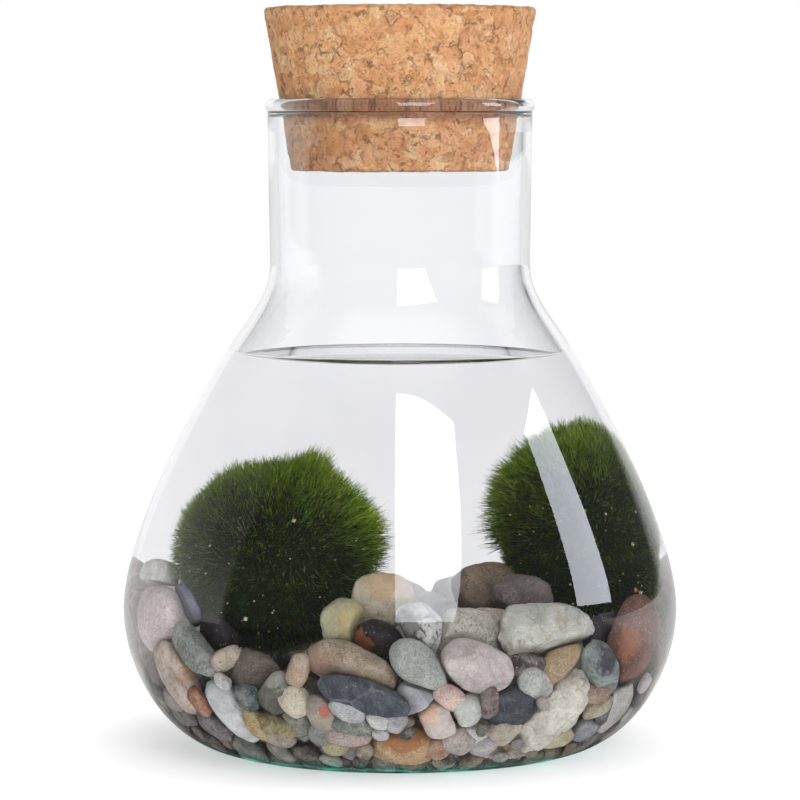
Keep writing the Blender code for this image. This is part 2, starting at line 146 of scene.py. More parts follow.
def ring_faces(rows, columns):
    """Quads and pole triangles of rows of points that run round, first pole last but one.

    Corner (r, c) joins (r, c+1), (r+1, c+1) and (r+1, c); the columns close on themselves.
    """
    row, column = np.meshgrid(np.arange(rows - 1), np.arange(columns), indexing="ij")
    after = (column + 1) % columns
    quads = np.stack(
        [
            row * columns + column,
            row * columns + after,
            (row + 1) * columns + after,
            (row + 1) * columns + column,
        ],
        axis=-1,
    ).reshape(-1, 4)
    around = np.arange(columns)
    following = (around + 1) % columns
    first, last = rows * columns, rows * columns + 1
    low = np.stack([np.full(columns, first), following, around], axis=1)
    top = (rows - 1) * columns
    high = np.stack([np.full(columns, last), top + around, top + following], axis=1)
    return quads, np.concatenate([low, high])


def shell_mesh(name, points, first_pole, last_pole):
    """A closed skin: a (rows, columns, 3) grid that runs round, shut by a point at each end."""
    rows, columns = points.shape[:2]
    quads, triangles = ring_faces(rows, columns)
    everything = np.concatenate([points.reshape(-1, 3), [first_pole], [last_pole]])
    return write_mesh(name, everything * MM, quads, triangles)


def turned_grid(outline, steps):
    """Each (r, z) of an outline carried round the axis: x = r cos a, y = r sin a, z = z."""
    angle = np.linspace(0.0, math.tau, steps, endpoint=False)
    radius, height = outline[:, 0, None], outline[:, 1, None]
    return np.stack([radius * np.cos(angle), radius * np.sin(angle), height + 0 * angle], axis=-1)


def turned_mesh(name, outline, steps):
    """A closed skin of revolution, for an outline that runs from the axis to the axis."""
    points = turned_grid(outline[1:-1], steps)
    return shell_mesh(name, points, (0, 0, outline[0, 1]), (0, 0, outline[-1, 1]))


def outline_normals(outline):
    """Unit directions at a right angle to an outline, to the right of its course."""
    along = np.gradient(outline, axis=0)
    return unit(np.stack([along[:, 1], -along[:, 0]], axis=1))


def noise(points, seed):
    """A smooth random field from -1 to 1 with one knot per unit.

    Each knot's value is a hash of its whole-number place, blended by t*t*(3 - 2t).
    """
    base = np.floor(points).astype(np.int64)
    part = points - base
    part = part * part * (3.0 - 2.0 * part)
    total = np.zeros(points.shape[:-1])
    for corner in np.ndindex(2, 2, 2):
        knot = base + np.array(corner)
        mixed = knot[..., 0] * X_PRIME ^ knot[..., 1] * Y_PRIME ^ knot[..., 2] * Z_PRIME
        mixed = (mixed ^ (seed * 40503 + 977)) & LOW_BITS
        for shift, prime in MIXERS:
            mixed = ((mixed ^ (mixed >> shift)) * prime) & LOW_BITS
        value = ((mixed >> 8) & 0xFFFF) / 32767.5 - 1.0
        share = np.where(np.array(corner) == 1, part, 1.0 - part)
        total += value * share[..., 0] * share[..., 1] * share[..., 2]
    return total


def rough_noise(points, seed, octaves=4, gain=0.5):
    """The sum of fields, each twice as fine and gain times as strong as the one before."""
    total = np.zeros(points.shape[:-1])
    for octave in range(octaves):
        total += gain**octave * noise(points * 2.03**octave + 17.3 * octave, seed + octave)
    return total


def sphere_grid(rows, columns):
    """Unit directions row by row from the lowest to the highest, without the poles."""
    up = np.linspace(-math.pi / 2, math.pi / 2, rows + 2)[1:-1, None]
    turn = np.linspace(0.0, math.tau, columns, endpoint=False)
    flat = np.cos(up) * np.ones(columns)
    return np.stack([flat * np.cos(turn), flat * np.sin(turn), np.sin(up) + 0 * turn], axis=-1)


def unit(vectors):
    """The same directions at length one."""
    return vectors / np.maximum(np.linalg.norm(vectors, axis=-1, keepdims=True), 1e-9)


def add_piece(name, mesh, material, slot, *nodes):
    """An object at the origin for this skin, riding on the one body, in place of CAD nodes."""
    piece = bpy.data.objects.new(name, mesh)
    bpy.context.scene.collection.objects.link(piece)
    mesh.materials.append(material)
    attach(piece, "root")
    if nodes:
        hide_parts(*nodes)


def write_tint(mesh, name, colours):
    """One linear colour for each point, for a material to read."""
    attribute = mesh.attributes.new(name, "FLOAT_COLOR", "POINT")
    attribute.data.foreach_set("color", np.asarray(colours, np.float32).ravel())


def node_box(name):
    """The centre and the half size of a CAD node's box, in millimetres."""
    low, high = (np.array(corner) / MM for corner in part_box(name))
    return (low + high) / 2, (high - low) / 2


def stone_slot(node):
    """The record's material slot of a CAD node."""
    return {part["node"]: part["material_slot"] for part in frame["record"]["subparts"]}[node]


# Shader pieces ---------------------------------------------------------------------------


def put(tree, socket, value):
    """Links another node's output to a socket, or sets the socket's own value."""
    if isinstance(value, bpy.types.NodeSocket):
        tree.links.new(value, socket)
    elif value is not None:
        socket.default_value = value


def add(tree, kind, options=None, **inputs):
    """A new node with these options, and its sockets by name with _ for a space."""
    made = tree.nodes.new(kind)
    for name, value in (options or {}).items():
        setattr(made, name, value)
    for name, value in inputs.items():
        put(tree, made.inputs[name.replace("_", " ")], value)
    return made


def maths(tree, operation, first, second=None):
    """The outcome of one operation on one or two values."""
    made = tree.nodes.new("ShaderNodeMath")
    made.operation = operation
    put(tree, made.inputs[0], first)
    put(tree, made.inputs[1], second)
    return made.outputs[0]


def times(tree, first, second):
    """The product of two values."""
    return maths(tree, "MULTIPLY", first, second)


def spread(tree, value, low, high, out_low=0.0, out_high=1.0, smooth=False):
    """The value moved from one range to another, held at both ends."""
    made = tree.nodes.new("ShaderNodeMapRange")
    made.clamp = True
    if smooth:
        made.interpolation_type = "SMOOTHSTEP"
    put(tree, made.inputs["Value"], value)
    put(tree, made.inputs["From Min"], low)
    put(tree, made.inputs["From Max"], high)
    put(tree, made.inputs["To Min"], out_low)
    put(tree, made.inputs["To Max"], out_high)
    return made.outputs[0]


def blend(tree, share, first, second, mode="MIX"):
    """One colour that goes over to another as the share goes from 0 to 1."""
    made = tree.nodes.new("ShaderNodeMix")
    made.data_type = "RGBA"
    made.blend_type = mode
    put(tree, made.inputs[0], share)
    put(tree, made.inputs[6], first)
    put(tree, made.inputs[7], second)
    return made.outputs[2]


def ramp(tree, value, stops):
    """The colour that a row of stops has at the value."""
    made = tree.nodes.new("ShaderNodeValToRGB")
    put(tree, made.inputs[0], value)
    elements = made.color_ramp.elements
    while len(elements) < len(stops):
        elements.new(1.0)
    for element, (place, colour) in zip(elements, stops):
        element.position = place
        element.color = colour
    return made.outputs[0]


def speckle(tree, place, scale, detail=3.0, rough=0.5, distort=0.0):
    """Cloudy noise from 0 to 1, with scale clouds to a millimetre."""
    made = add(
        tree,
        "ShaderNodeTexNoise",
        Vector=place,
        Scale=scale,
        Detail=detail,
        Roughness=rough,
        Distortion=distort,
    )
    return made.outputs["Fac"]


def cells(tree, place, scale, feature="F1"):
    """Irregular cells, with scale of them to a millimetre."""
    return add(tree, "ShaderNodeTexVoronoi", {"feature": feature}, Vector=place, Scale=scale)


def warped(tree, place, scale, detail, rough, reach):
    """The place pushed about by up to reach millimetres, by noise of its own."""
    warp = add(
        tree, "ShaderNodeTexNoise", Vector=place, Scale=scale, Detail=detail, Roughness=rough
    )
    lean = add(tree, "ShaderNodeVectorMath", {"operation": "SCALE"}, Scale=reach)
    put(tree, lean.inputs[0], warp.outputs["Color"])
    bent = add(tree, "ShaderNodeVectorMath", {"operation": "ADD"})
    put(tree, bent.inputs[0], place)
    put(tree, bent.inputs[1], lean.outputs[0])
    return bent.outputs[0]


def own_place(tree, offset=(0, 0, 0), turn=(0, 0, 0)):
    """Object coordinates in millimetres, moved and turned."""
    start = add(tree, "ShaderNodeTexCoord")
    mapping = add(tree, "ShaderNodeMapping")
    put(tree, mapping.inputs["Vector"], start.outputs["Object"])
    mapping.inputs["Location"].default_value = offset
    mapping.inputs["Rotation"].default_value = turn
    mapping.inputs["Scale"].default_value = (1.0 / MM, 1.0 / MM, 1.0 / MM)
    return mapping.outputs[0]


def empty_material(name):
    """A new material without nodes, and its node tree."""
    material = bpy.data.materials.new(name)
    material.use_nodes = True
    material.node_tree.nodes.clear()
    return material, material.node_tree


def finish(tree, colour, roughness, height=None, depth=0.0002, strength=1.0, **constants):
    """The shader itself, its relief and its output; other values are set as they are given."""
    shader = add(tree, "ShaderNodeBsdfPrincipled")
    put(tree, shader.inputs["Base Color"], colour)
    put(tree, shader.inputs["Roughness"], roughness)
    for name, value in constants.items():
        shader.inputs[name.replace("_", " ")].default_value = value
    if height is not None:
        bump = add(tree, "ShaderNodeBump", Height=height, Distance=depth, Strength=strength)
        put(tree, shader.inputs["Normal"], bump.outputs[0])
    out = add(tree, "ShaderNodeOutputMaterial")
    tree.links.new(shader.outputs[0], out.inputs["Surface"])
    return shader, out


def new_group(name, inputs, outputs):
    """An empty node group with named sockets, and its two ends."""
    group = bpy.data.node_groups.new(name, "ShaderNodeTree")
    kinds = {"value": "NodeSocketFloat", "colour": "NodeSocketColor", "vector": "NodeSocketVector"}
    for label, kind, default in inputs:
        socket = group.interface.new_socket(label, in_out="INPUT", socket_type=kinds[kind])
        if default is not None:
            socket.default_value = default
    for label, kind in outputs:
        group.interface.new_socket(label, in_out="OUTPUT", socket_type=kinds[kind])
    start = group.nodes.new("NodeGroupInput")
    end = group.nodes.new("NodeGroupOutput")
    return group, start.outputs, end.inputs


def stone_group():
    """Clouded, speckled, veined and banded stone: colour, roughness and relief over the surface."""
    white = (1, 1, 1, 1)
    group, given, result = new_group(
        "Stone Grain",
        (
            ("Place", "vector", None),
            ("Base", "colour", white),
            ("Second", "colour", white),
            ("Mark", "colour", white),
            ("Vein Colour", "colour", white),
            ("Patch Size", "value", 4.0),
            ("Patch Edge", "value", 0.12),
            ("Speck Size", "value", 0.7),
            ("Speck Share", "value", 0.2),
            ("Pale Specks", "value", 0.1),
            ("Vein Size", "value", 6.0),
            ("Veins", "value", 0.0),
            ("Bands", "value", 0.0),
            ("Grain", "value", 0.25),
        ),
        (("Colour", "colour"), ("Roughness", "value"), ("Relief", "value")),
    )
    place = given["Place"]
    bent = warped(group, place, 0.5, 2.0, 0.5, 1.6)

    cloud = speckle(group, place, maths(group, "DIVIDE", 1.0, given["Patch Size"]), 4.0, 0.62)
    low = maths(group, "SUBTRACT", 0.5, given["Patch Edge"])
    high = maths(group, "ADD", 0.5, given["Patch Edge"])
    colour = blend(group, spread(group, cloud, low, high), given["Base"], given["Second"])

    stretched = add(group, "ShaderNodeVectorMath", {"operation": "MULTIPLY"})
    put(group, stretched.inputs[0], bent)
    stretched.inputs[1].default_value = (0.25, 0.25, 1.6)
    band = speckle(group, stretched.outputs[0], 0.9, 3.0, 0.6)
    band = times(group, spread(group, band, 0.45, 0.58), given["Bands"])
    colour = blend(group, band, colour, given["Mark"])

    fine = speckle(group, place, 3.2, 3.0, 0.7)
    low = maths(group, "SUBTRACT", 1.0, given["Grain"])
    high = maths(group, "ADD", 1.0, given["Grain"])
    gain = spread(group, fine, 0.3, 0.7, low, high)
    stain = speckle(group, place, 0.2, 5.0, 0.68, 0.8)
    gain = times(group, gain, spread(group, stain, 0.36, 0.62, 0.66, 1.06))
    lit = add(group, "ShaderNodeVectorMath", {"operation": "SCALE"})
    put(group, lit.inputs[0], colour)
    put(group, lit.inputs["Scale"], gain)
    colour = lit.outputs[0]

    per_mm = maths(group, "DIVIDE", 1.0, given["Speck Size"])
    dark = cells(group, bent, per_mm)
    parts = add(group, "ShaderNodeSeparateColor", Color=dark.outputs["Color"])
    chosen = maths(group, "LESS_THAN", parts.outputs[0], given["Speck Share"])
    inside = spread(group, dark.outputs["Distance"], 0.32, 0.5, 1.0, 0.0)
    mask = times(group, chosen, inside)
    colour = blend(group, times(group, mask, 0.6), colour, given["Mark"])
    light = cells(group, place, times(group, per_mm, 1.45))
    parts = add(group, "ShaderNodeSeparateColor", Color=light.outputs["Color"])
    chosen = maths(group, "LESS_THAN", parts.outputs[1], given["Pale Specks"])
    inside = spread(group, light.outputs["Distance"], 0.15, 0.5, 0.7, 0.0)
    pale = blend(group, 0.6, given["Second"], (0.85, 0.85, 0.82, 1))
    colour = blend(group, times(group, chosen, inside), colour, pale)

    crack = cells(group, bent, maths(group, "DIVIDE", 1.0, given["Vein Size"]), "DISTANCE_TO_EDGE")
    line = spread(group, crack.outputs["Distance"], 0.0, 0.05, 1.0, 0.0)
    broken = spread(group, speckle(group, place, 0.55, 2.0), 0.42, 0.6)
    line = times(group, times(group, line, broken), given["Veins"])
    colour = blend(group, line, colour, given["Vein Colour"])

    put(group, result["Colour"], colour)
    rough = spread(group, fine, 0.3, 0.7, 0.32, 0.52)
    put(group, result["Roughness"], maths(group, "SUBTRACT", rough, times(group, mask, 0.08)))
    relief = maths(group, "ADD", fine, times(group, stain, 2.0))
    relief = maths(group, "SUBTRACT", relief, times(group, line, 0.5))
    put(group, result["Relief"], maths(group, "SUBTRACT", relief, times(group, mask, 0.12)))
    return group


def patch_and_shade_group():
    """A soft-edged spot of another colour round one point of a stone; also used for painted shade.
    """
    group, given, result = new_group(
        "Stone Patch And Shade",
        (
            ("Place", "vector", None),
            ("Colour", "colour", (1, 1, 1, 1)),
            ("Spot Colour", "colour", (1, 1, 1, 1)),
            ("Centre", "vector", None),
            ("Reach", "value", 3.0),
            ("Amount", "value", 1.0),
        ),
        (("Colour", "colour"),),
    )
    away = add(group, "ShaderNodeVectorMath", {"operation": "DISTANCE"})
    put(group, away.inputs[0], given["Place"])
    put(group, away.inputs[1], given["Centre"])
    ragged = spread(group, speckle(group, given["Place"], 0.8, 4.0, 0.65), 0.25, 0.75, 0.55, 1.45)
    reach = times(group, given["Reach"], ragged)
    edge = times(group, reach, 0.7)
    mask = spread(group, away.outputs["Value"], edge, reach, 1.0, 0.0)
    colour = blend(
        group, times(group, mask, given["Amount"]), given["Colour"], given["Spot Colour"]
    )
    put(group, result["Colour"], colour)
    return group


# Finishes --------------------------------------------------------------------------------


def clear_material(name, colour, ior, wave_size, wave_depth, level, low_colour=None, thin_edge=0.0):
    """Clear glass or water: faint waves over it, and rays from lamps pass straight through.

    Under the water's level, light that has come in through the front wall leaves by the far
    one unbent, so the flask's sides stay bright. The colour may turn to low_colour in the
    lowest few millimetres, and there teal streaks round the foot glow though the glass is no
    lamp: a painted highlight. thin_edge is how clear the raised edge over the level looks from
    the air side.
    """
    material, tree = empty_material(name)
    place = own_place(tree)
    parts = add(tree, "ShaderNodeSeparateXYZ", Vector=place)
    tone = speckle(tree, place, 0.06, 2.0)
    tone = spread(tree, tone, 0.3, 0.7, 0.0, 0.5)
    deeper = opaque(part**1.6 for part in colour[:3])
    tint = blend(tree, tone, colour, deeper)
    if low_colour is not None:
        base = spread(tree, parts.outputs[2], 1.4, 3.6, 1.0, 0.0, True)
        tint = blend(tree, base, tint, low_colour)
    wave = speckle(tree, place, 1.0 / wave_size, 1.0, 0.3)
    shader, out = finish(tree, tint, 0.0, wave, wave_depth, IOR=ior, Transmission_Weight=1.0)
    if low_colour is not None:
        # Painted highlight: teal streaks round the foot glow, though the glass is no lamp.
        squashed = add(tree, "ShaderNodeMapping", Vector=place)
        squashed.inputs["Scale"].default_value = (0.16, 0.16, 1.3)
        painted_glow_streak = spread(tree, speckle(tree, squashed.outputs[0], 1.0, 3.0, 0.6, 0.4), 0.48, 0.66)
        foot = spread(tree, parts.outputs[2], 0.1, 0.5)
        foot = times(tree, foot, spread(tree, parts.outputs[2], 1.4, 2.0, 1.0, 0.0))
        foot = times(tree, foot, painted_glow_streak)
        painted_teal_glow = blend(tree, foot, (0, 0, 0, 1), (0.02, 0.38, 0.27, 1))
        put(tree, shader.inputs["Emission Color"], painted_teal_glow)
        shader.inputs["Emission Strength"].default_value = 1.0
    through = add(tree, "ShaderNodeBsdfTransparent", Color=(0.963, 0.962, 0.965, 1))
    path = add(tree, "ShaderNodeLightPath")
    # More than two faces crossed: the ray is inside the flask and on its way out.
    crossed = path.outputs["Transmission Depth"]
    within = maths(tree, "GREATER_THAN", crossed, 2.5)
    under = maths(tree, "LESS_THAN", parts.outputs[2], level)
    unbent = maths(tree, "MAXIMUM", path.outputs["Is Shadow Ray"], times(tree, within, under))
    if thin_edge:
        side = add(tree, "ShaderNodeNewGeometry")
        outer = maths(tree, "SUBTRACT", 1.0, side.outputs["Backfacing"])
        edge = times(tree, maths(tree, "GREATER_THAN", parts.outputs[2], level + 0.1), outer)
        edge = times(tree, edge, maths(tree, "GREATER_THAN", crossed, 1.5))
        unbent = maths(tree, "MAXIMUM", unbent, times(tree, edge, thin_edge))
    mix = add(tree, "ShaderNodeMixShader")
    tree.links.new(unbent, mix.inputs[0])
    tree.links.new(shader.outputs[0], mix.inputs[1])
    tree.links.new(through.outputs[0], mix.inputs[2])
    tree.links.new(mix.outputs[0], out.inputs["Surface"])
    return material


def cork_material(settings):
    """Pressed cork: close-set flakes, each of its own shade, with dark crevices between.

    A darker ring round the cork at the flask's lip is painted shade.
    """
    material, tree = empty_material("Cork Agglomerate")
    place = own_place(tree)
    bent = warped(tree, place, 0.45, 3.0, 0.6, 2.4)
    flake = cells(tree, bent, 0.34)
    shade = add(tree, "ShaderNodeSeparateColor", Color=flake.outputs["Color"])
    chip = cells(tree, bent, 0.78)
    bits = add(tree, "ShaderNodeSeparateColor", Color=chip.outputs["Color"])
    grit = speckle(tree, bent, 1.5, 5.0, 0.72, 1.5)
    tone = times(tree, shade.outputs[0], 0.34)
    tone = maths(tree, "ADD", tone, times(tree, bits.outputs[0], 0.2))
    tone = maths(tree, "ADD", tone, times(tree, grit, 0.6))
    colour = ramp(
        tree,
        tone,
        (
            (0.12, linear(172, 106, 58)),
            (0.3, linear(214, 148, 92)),
            (0.5, opaque(settings.flake_colour)),
            (0.68, linear(242, 188, 134)),
            (0.85, linear(248, 210, 162)),
        ),
    )
    pink = maths(tree, "GREATER_THAN", shade.outputs[1], 0.66)
    colour = blend(tree, times(tree, pink, 0.3), colour, linear(232, 160, 122))
    dark_bit = maths(tree, "GREATER_THAN", bits.outputs[1], 0.88)
    colour = blend(tree, times(tree, dark_bit, 0.35), colour, linear(160, 98, 56))
    fibre = speckle(tree, place, 2.4, 4.0, 0.75, 1.0)
    colour = blend(tree, spread(tree, fibre, 0.4, 0.7, 0.0, 0.4), colour, linear(184, 128, 84))
    seam = cells(tree, bent, 0.34, "DISTANCE_TO_EDGE")
    ragged = spread(tree, grit, 0.35, 0.65, 0.0, 0.09)
    gap = maths(tree, "SUBTRACT", seam.outputs["Distance"], ragged)
    gap = spread(tree, gap, -0.02, 0.03, 1.0, 0.0)
    open_gap = spread(tree, speckle(tree, place, 0.3, 3.0, 0.6), 0.52, 0.66)
    gap = times(tree, gap, open_gap)
    pit = spread(tree, speckle(tree, bent, 0.8, 3.0, 0.55, 1.0), 0.29, 0.36, 1.0, 0.0)
    hollow = maths(tree, "MAXIMUM", gap, pit)
    colour = blend(tree, times(tree, hollow, 0.62), colour, opaque(settings.crevice_colour))
    wander = maths(tree, "SUBTRACT", speckle(tree, bent, 0.55, 4.0, 0.6, 1.2), 0.5)
    crease = spread(tree, maths(tree, "ABSOLUTE", wander), 0.0, 0.012, 1.0, 0.0)
    crease = times(tree, crease, spread(tree, speckle(tree, place, 0.6, 2.0), 0.46, 0.6))
    colour = blend(tree, times(tree, crease, 0.7), colour, linear(136, 76, 40))
    height = add(tree, "ShaderNodeSeparateXYZ", Vector=place).outputs[2]
    # Painted shade: a darker ring where the cork meets the flask's lip.
    painted_lip_shade = spread(tree, height, 123.0, 125.5, 0.0, 1.0, True)
    painted_lip_shade = times(tree, painted_lip_shade, spread(tree, height, 128.0, 129.0, 1.0, 0.0, True))
    colour = blend(tree, times(tree, painted_lip_shade, 0.6), colour, linear(112, 62, 38))
    relief = maths(tree, "SUBTRACT", times(tree, grit, 0.8), maths(tree, "MAXIMUM", hollow, crease))
    relief = maths(tree, "ADD", relief, times(tree, bits.outputs[2], 0.3))
    rough = spread(tree, fibre, 0.3, 0.7, 0.6, 0.85)
    finish(tree, colour, rough, relief, 0.0007, 0.9)
    return material


def moss_core_material(settings):
    """The dense felt under the threads, in clouded dark greens."""
    material, tree = empty_material("Moss Felt")
    place = own_place(tree)
    cloud = speckle(tree, place, 0.35, 5.0, 0.65)
    deep = opaque(settings.root_colour)
    stops = ((0.25, linear(8, 14, 2)), (0.5, deep), (0.75, linear(40, 66, 10)))
    colour = ramp(tree, cloud, stops)
    fine = speckle(tree, place, 2.6, 4.0, 0.7)
    colour = blend(tree, spread(tree, fine, 0.5, 0.75, 0.0, 0.4), colour, linear(60, 84, 20))
    finish(tree, colour, 0.9, maths(tree, "ADD", cloud, fine), 0.0006, 1.0, Specular_IOR_Level=0.06)
    return material


def moss_thread_material(settings):
    """Threads that go from dark green at the root to yellow-green and pale at the tip."""
    material, tree = empty_material("Moss Threads")
    tint = add(tree, "ShaderNodeAttribute", {"attribute_name": "thread"})
    parts = add(tree, "ShaderNodeSeparateColor", Color=tint.outputs["Color"])
    green = ramp(
        tree,
        parts.outputs[0],
        (
            (0.0, opaque(settings.root_colour)),
            (0.3, linear(104, 156, 6)),
            (0.6, opaque(settings.tip_colour)),
            (0.8, linear(200, 220, 90)),
            (1.0, linear(216, 226, 160)),
        ),
    )
    # A darker copy of the colours, painted shade; the painted light share in the tint's third value
    # mixes it with the brighter one, painted light.
    painted_shade_ramp = ramp(
        tree,
        parts.outputs[0],
        (
            (0.0, linear(10, 16, 3)),
            (0.4, linear(26, 38, 8)),
            (0.8, linear(44, 62, 16)),
            (1.0, linear(110, 128, 66)),
        ),
    )
    colour = blend(tree, parts.outputs[2], painted_shade_ramp, green)
    place = own_place(tree)
    cloud = spread(tree, speckle(tree, place, 0.22, 3.0, 0.6), 0.32, 0.68)
    colour = blend(tree, times(tree, cloud, 0.3), colour, linear(34, 54, 8))
    dry = maths(tree, "GREATER_THAN", parts.outputs[1], 0.96)
    colour = blend(tree, times(tree, dry, 0.5), colour, linear(200, 200, 130))
    brown = maths(tree, "LESS_THAN", parts.outputs[1], 0.06)
    colour = blend(tree, times(tree, brown, 0.6), colour, linear(112, 72, 34))
    finish(
        tree,
        colour,
        0.7,
        Sheen_Weight=1.0,
        Sheen_Roughness=0.28,
        Sheen_Tint=linear(176, 220, 40),
        Specular_IOR_Level=0.06,
    )
    return material


# The stone grain's sockets that each finish fills, and each finish's values for them.
FINISH_SOCKETS = (
    "Patch Size",
    "Patch Edge",
    "Speck Size",
    "Speck Share",
    "Pale Specks",
    "Vein Size",
    "Veins",
    "Bands",
    "Grain",
)
STONE_FINISHES = {
    "granite": (3.2, 0.14, 0.6, 0.3, 0.14, 9.0, 0.1, 0.0, 0.3),
    "fine_granite": (4.5, 0.2, 0.38, 0.26, 0.12, 9.0, 0.0, 0.0, 0.28),
    "smooth": (7.0, 0.25, 0.6, 0.05, 0.04, 9.0, 0.0, 0.0, 0.08),
    "quartz": (4.0, 0.12, 0.7, 0.06, 0.1, 5.0, 0.55, 0.0, 0.16),
    "slate": (6.0, 0.2, 0.4, 0.08, 0.03, 9.0, 0.25, 0.5, 0.22),
    "basalt": (5.0, 0.2, 0.42, 0.12, 0.07, 9.0, 0.0, 0.0, 0.35),
    "sandstone": (5.0, 0.14, 0.5, 0.2, 0.18, 8.0, 0.2, 0.15, 0.24),
    "veined": (4.2, 0.1, 0.6, 0.12, 0.12, 4.2, 1.0, 0.0, 0.18),
}

# Each pebble's finish; its base, second, mark and vein colours; how sharp its edges are, and
# how craggy its skin.
PEBBLES = {
    "pink_granite": (
        "granite", (214, 198, 196), (226, 214, 210), (168, 132, 128), (190, 150, 140), 20, 1.0,
    ),
    "cream_slab": (
        "quartz", (240, 238, 230), (246, 244, 238), (190, 182, 166), (200, 192, 178), 34, 0.9,
    ),
    "blue_grey": (
        "fine_granite", (118, 118, 138), (140, 142, 160), (86, 88, 108), (160, 165, 185), 18, 0.8,
    ),
    "dark_purple": (
        "basalt", (44, 37, 41), (62, 52, 56), (34, 28, 32), (110, 96, 98), 20, 0.8,
    ),
    "speckled_bar": (
        "granite", (148, 152, 146), (170, 172, 164), (92, 96, 90), (120, 120, 112), 36, 0.8,
    ),
    "veined_quartz": (
        "veined", (210, 193, 180), (223, 210, 196), (176, 128, 96), (190, 130, 88), 26, 0.9,
    ),
    "white_oval": (
        "smooth", (226, 229, 228), (233, 235, 233), (170, 172, 170), (190, 190, 186), 16, 0.5,
    ),
    "taupe_disc": (
        "fine_granite", (110, 100, 92), (126, 116, 106), (84, 76, 70), (150, 140, 130), 20, 0.7,
    ),
    "grey_quartz": (
        "smooth", (104, 102, 95), (126, 124, 116), (104, 102, 96), (190, 188, 178), 22, 0.7,
    ),
    "gold_slate": (
        "slate", (168, 157, 118), (188, 176, 134), (104, 98, 74), (190, 178, 130), 30, 1.0,
    ),
    "red_spot": (
        "smooth", (172, 166, 150), (186, 178, 164), (190, 150, 138), (200, 160, 150), 18, 0.6,
    ),
    "tan_granite": (
        "granite", (180, 160, 138), (200, 182, 160), (116, 96, 80), (206, 192, 172), 18, 0.8,
    ),
    "slate_bar": (
        "slate", (88, 94, 101), (106, 112, 118), (58, 62, 70), (190, 192, 190), 32, 0.8,
    ),
    "black_basalt": (
        "basalt", (42, 36, 38), (58, 52, 54), (28, 24, 28), (90, 84, 84), 30, 1.1,
    ),
    "cream_quartz": (
        "quartz", (176, 175, 144), (192, 189, 156), (184, 166, 118), (160, 146, 118), 44, 1.4,
    ),
    "peach_quartz": (
        "quartz", (222, 212, 190), (230, 216, 190), (184, 158, 128), (166, 148, 126), 44, 1.6,
    ),
    "grey_green": (
        "fine_granite", (174, 179, 173), (186, 190, 183), (122, 128, 120), (190, 194, 188), 20, 0.7,
    ),
    "light_grey": (
        "smooth", (184, 186, 190), (198, 200, 202), (130, 132, 136), (200, 200, 200), 18, 0.6,
    ),
    "sandstone": (
        "sandstone", (204, 172, 132), (220, 192, 152), (150, 106, 68), (214, 190, 150), 18, 0.8,
    ),
    "black_veined": (
        "veined", (222, 221, 215), (232, 230, 225), (110, 106, 104), (60, 56, 56), 22, 0.8,
    ),
    "beige_sandstone": (
        "granite", (212, 208, 194), (222, 217, 203), (136, 128, 112), (232, 228, 218), 20, 0.9,
    ),
    "pink_white": (
        "quartz", (206, 197, 192), (216, 209, 203), (196, 168, 156), (186, 152, 142), 26, 0.8,
    ),
    "charcoal": (
        "basalt", (90, 85, 88), (108, 102, 104), (62, 58, 62), (140, 134, 134), 24, 0.8,
    ),
    "peach_pink": (
        "smooth", (232, 216, 204), (238, 226, 218), (214, 168, 144), (214, 168, 144), 20, 0.7,
    ),
    "green_white": (
        "smooth", (217, 221, 210), (226, 229, 219), (168, 176, 158), (180, 188, 170), 20, 0.7,
    ),
    "round_slate": (
        "slate", (80, 84, 90), (96, 100, 106), (52, 56, 60), (140, 146, 150), 22, 0.7,
    ),
    "white_grey": (
        "fine_granite", (226, 221, 219), (234, 230, 227), (156, 152, 150), (170, 164, 162), 22, 0.7,
    ),
    "pitted_white": (
        "quartz", (206, 206, 196), (220, 220, 211), (176, 164, 120), (160, 152, 120), 60, 2.6,
    ),
    "ochre_tan": (
        "sandstone", (180, 156, 126), (196, 174, 140), (140, 112, 78), (206, 190, 160), 22, 0.8,
    ),
    "green_chert": (
        "slate", (146, 156, 156), (160, 170, 164), (70, 70, 82), (96, 146, 140), 48, 1.2,
    ),
    "terracotta": (
        "sandstone", (124, 90, 78), (138, 102, 90), (128, 92, 82), (196, 166, 152), 20, 0.7,
    ),
    "craggy_cream": (
        "quartz", (226, 221, 205), (236, 231, 218), (176, 160, 128), (164, 150, 122), 40, 4.4,
    ),
    "pale_right": (
        "fine_granite", (210, 206, 200), (219, 216, 210), (166, 160, 152), (180, 176, 170), 20, 0.7,
    ),
    "brown_pink": (
        "granite", (238, 226, 218), (243, 232, 225), (150, 126, 114), (222, 206, 196), 20, 0.8,
    ),
    "smoky_slab": (
        "fine_granite", (66, 63, 68), (80, 77, 82), (70, 66, 71), (150, 146, 148), 26, 0.8,
    ),
    "grey_back": (
        "basalt", (120, 110, 106), (136, 126, 121), (80, 72, 70), (160, 150, 146), 22, 0.8,
    ),
    "brown_back": (
        "basalt", (140, 119, 101), (158, 138, 118), (72, 58, 48), (160, 142, 124), 22, 0.8,
    ),
    "mound_1": (
        "quartz", (236, 230, 218), (242, 238, 228), (206, 186, 150), (196, 176, 150), 34, 1.4,
    ),
    "mound_3": (
        "smooth", (232, 228, 220), (238, 234, 228), (200, 192, 178), (206, 200, 188), 24, 0.8,
    ),
}

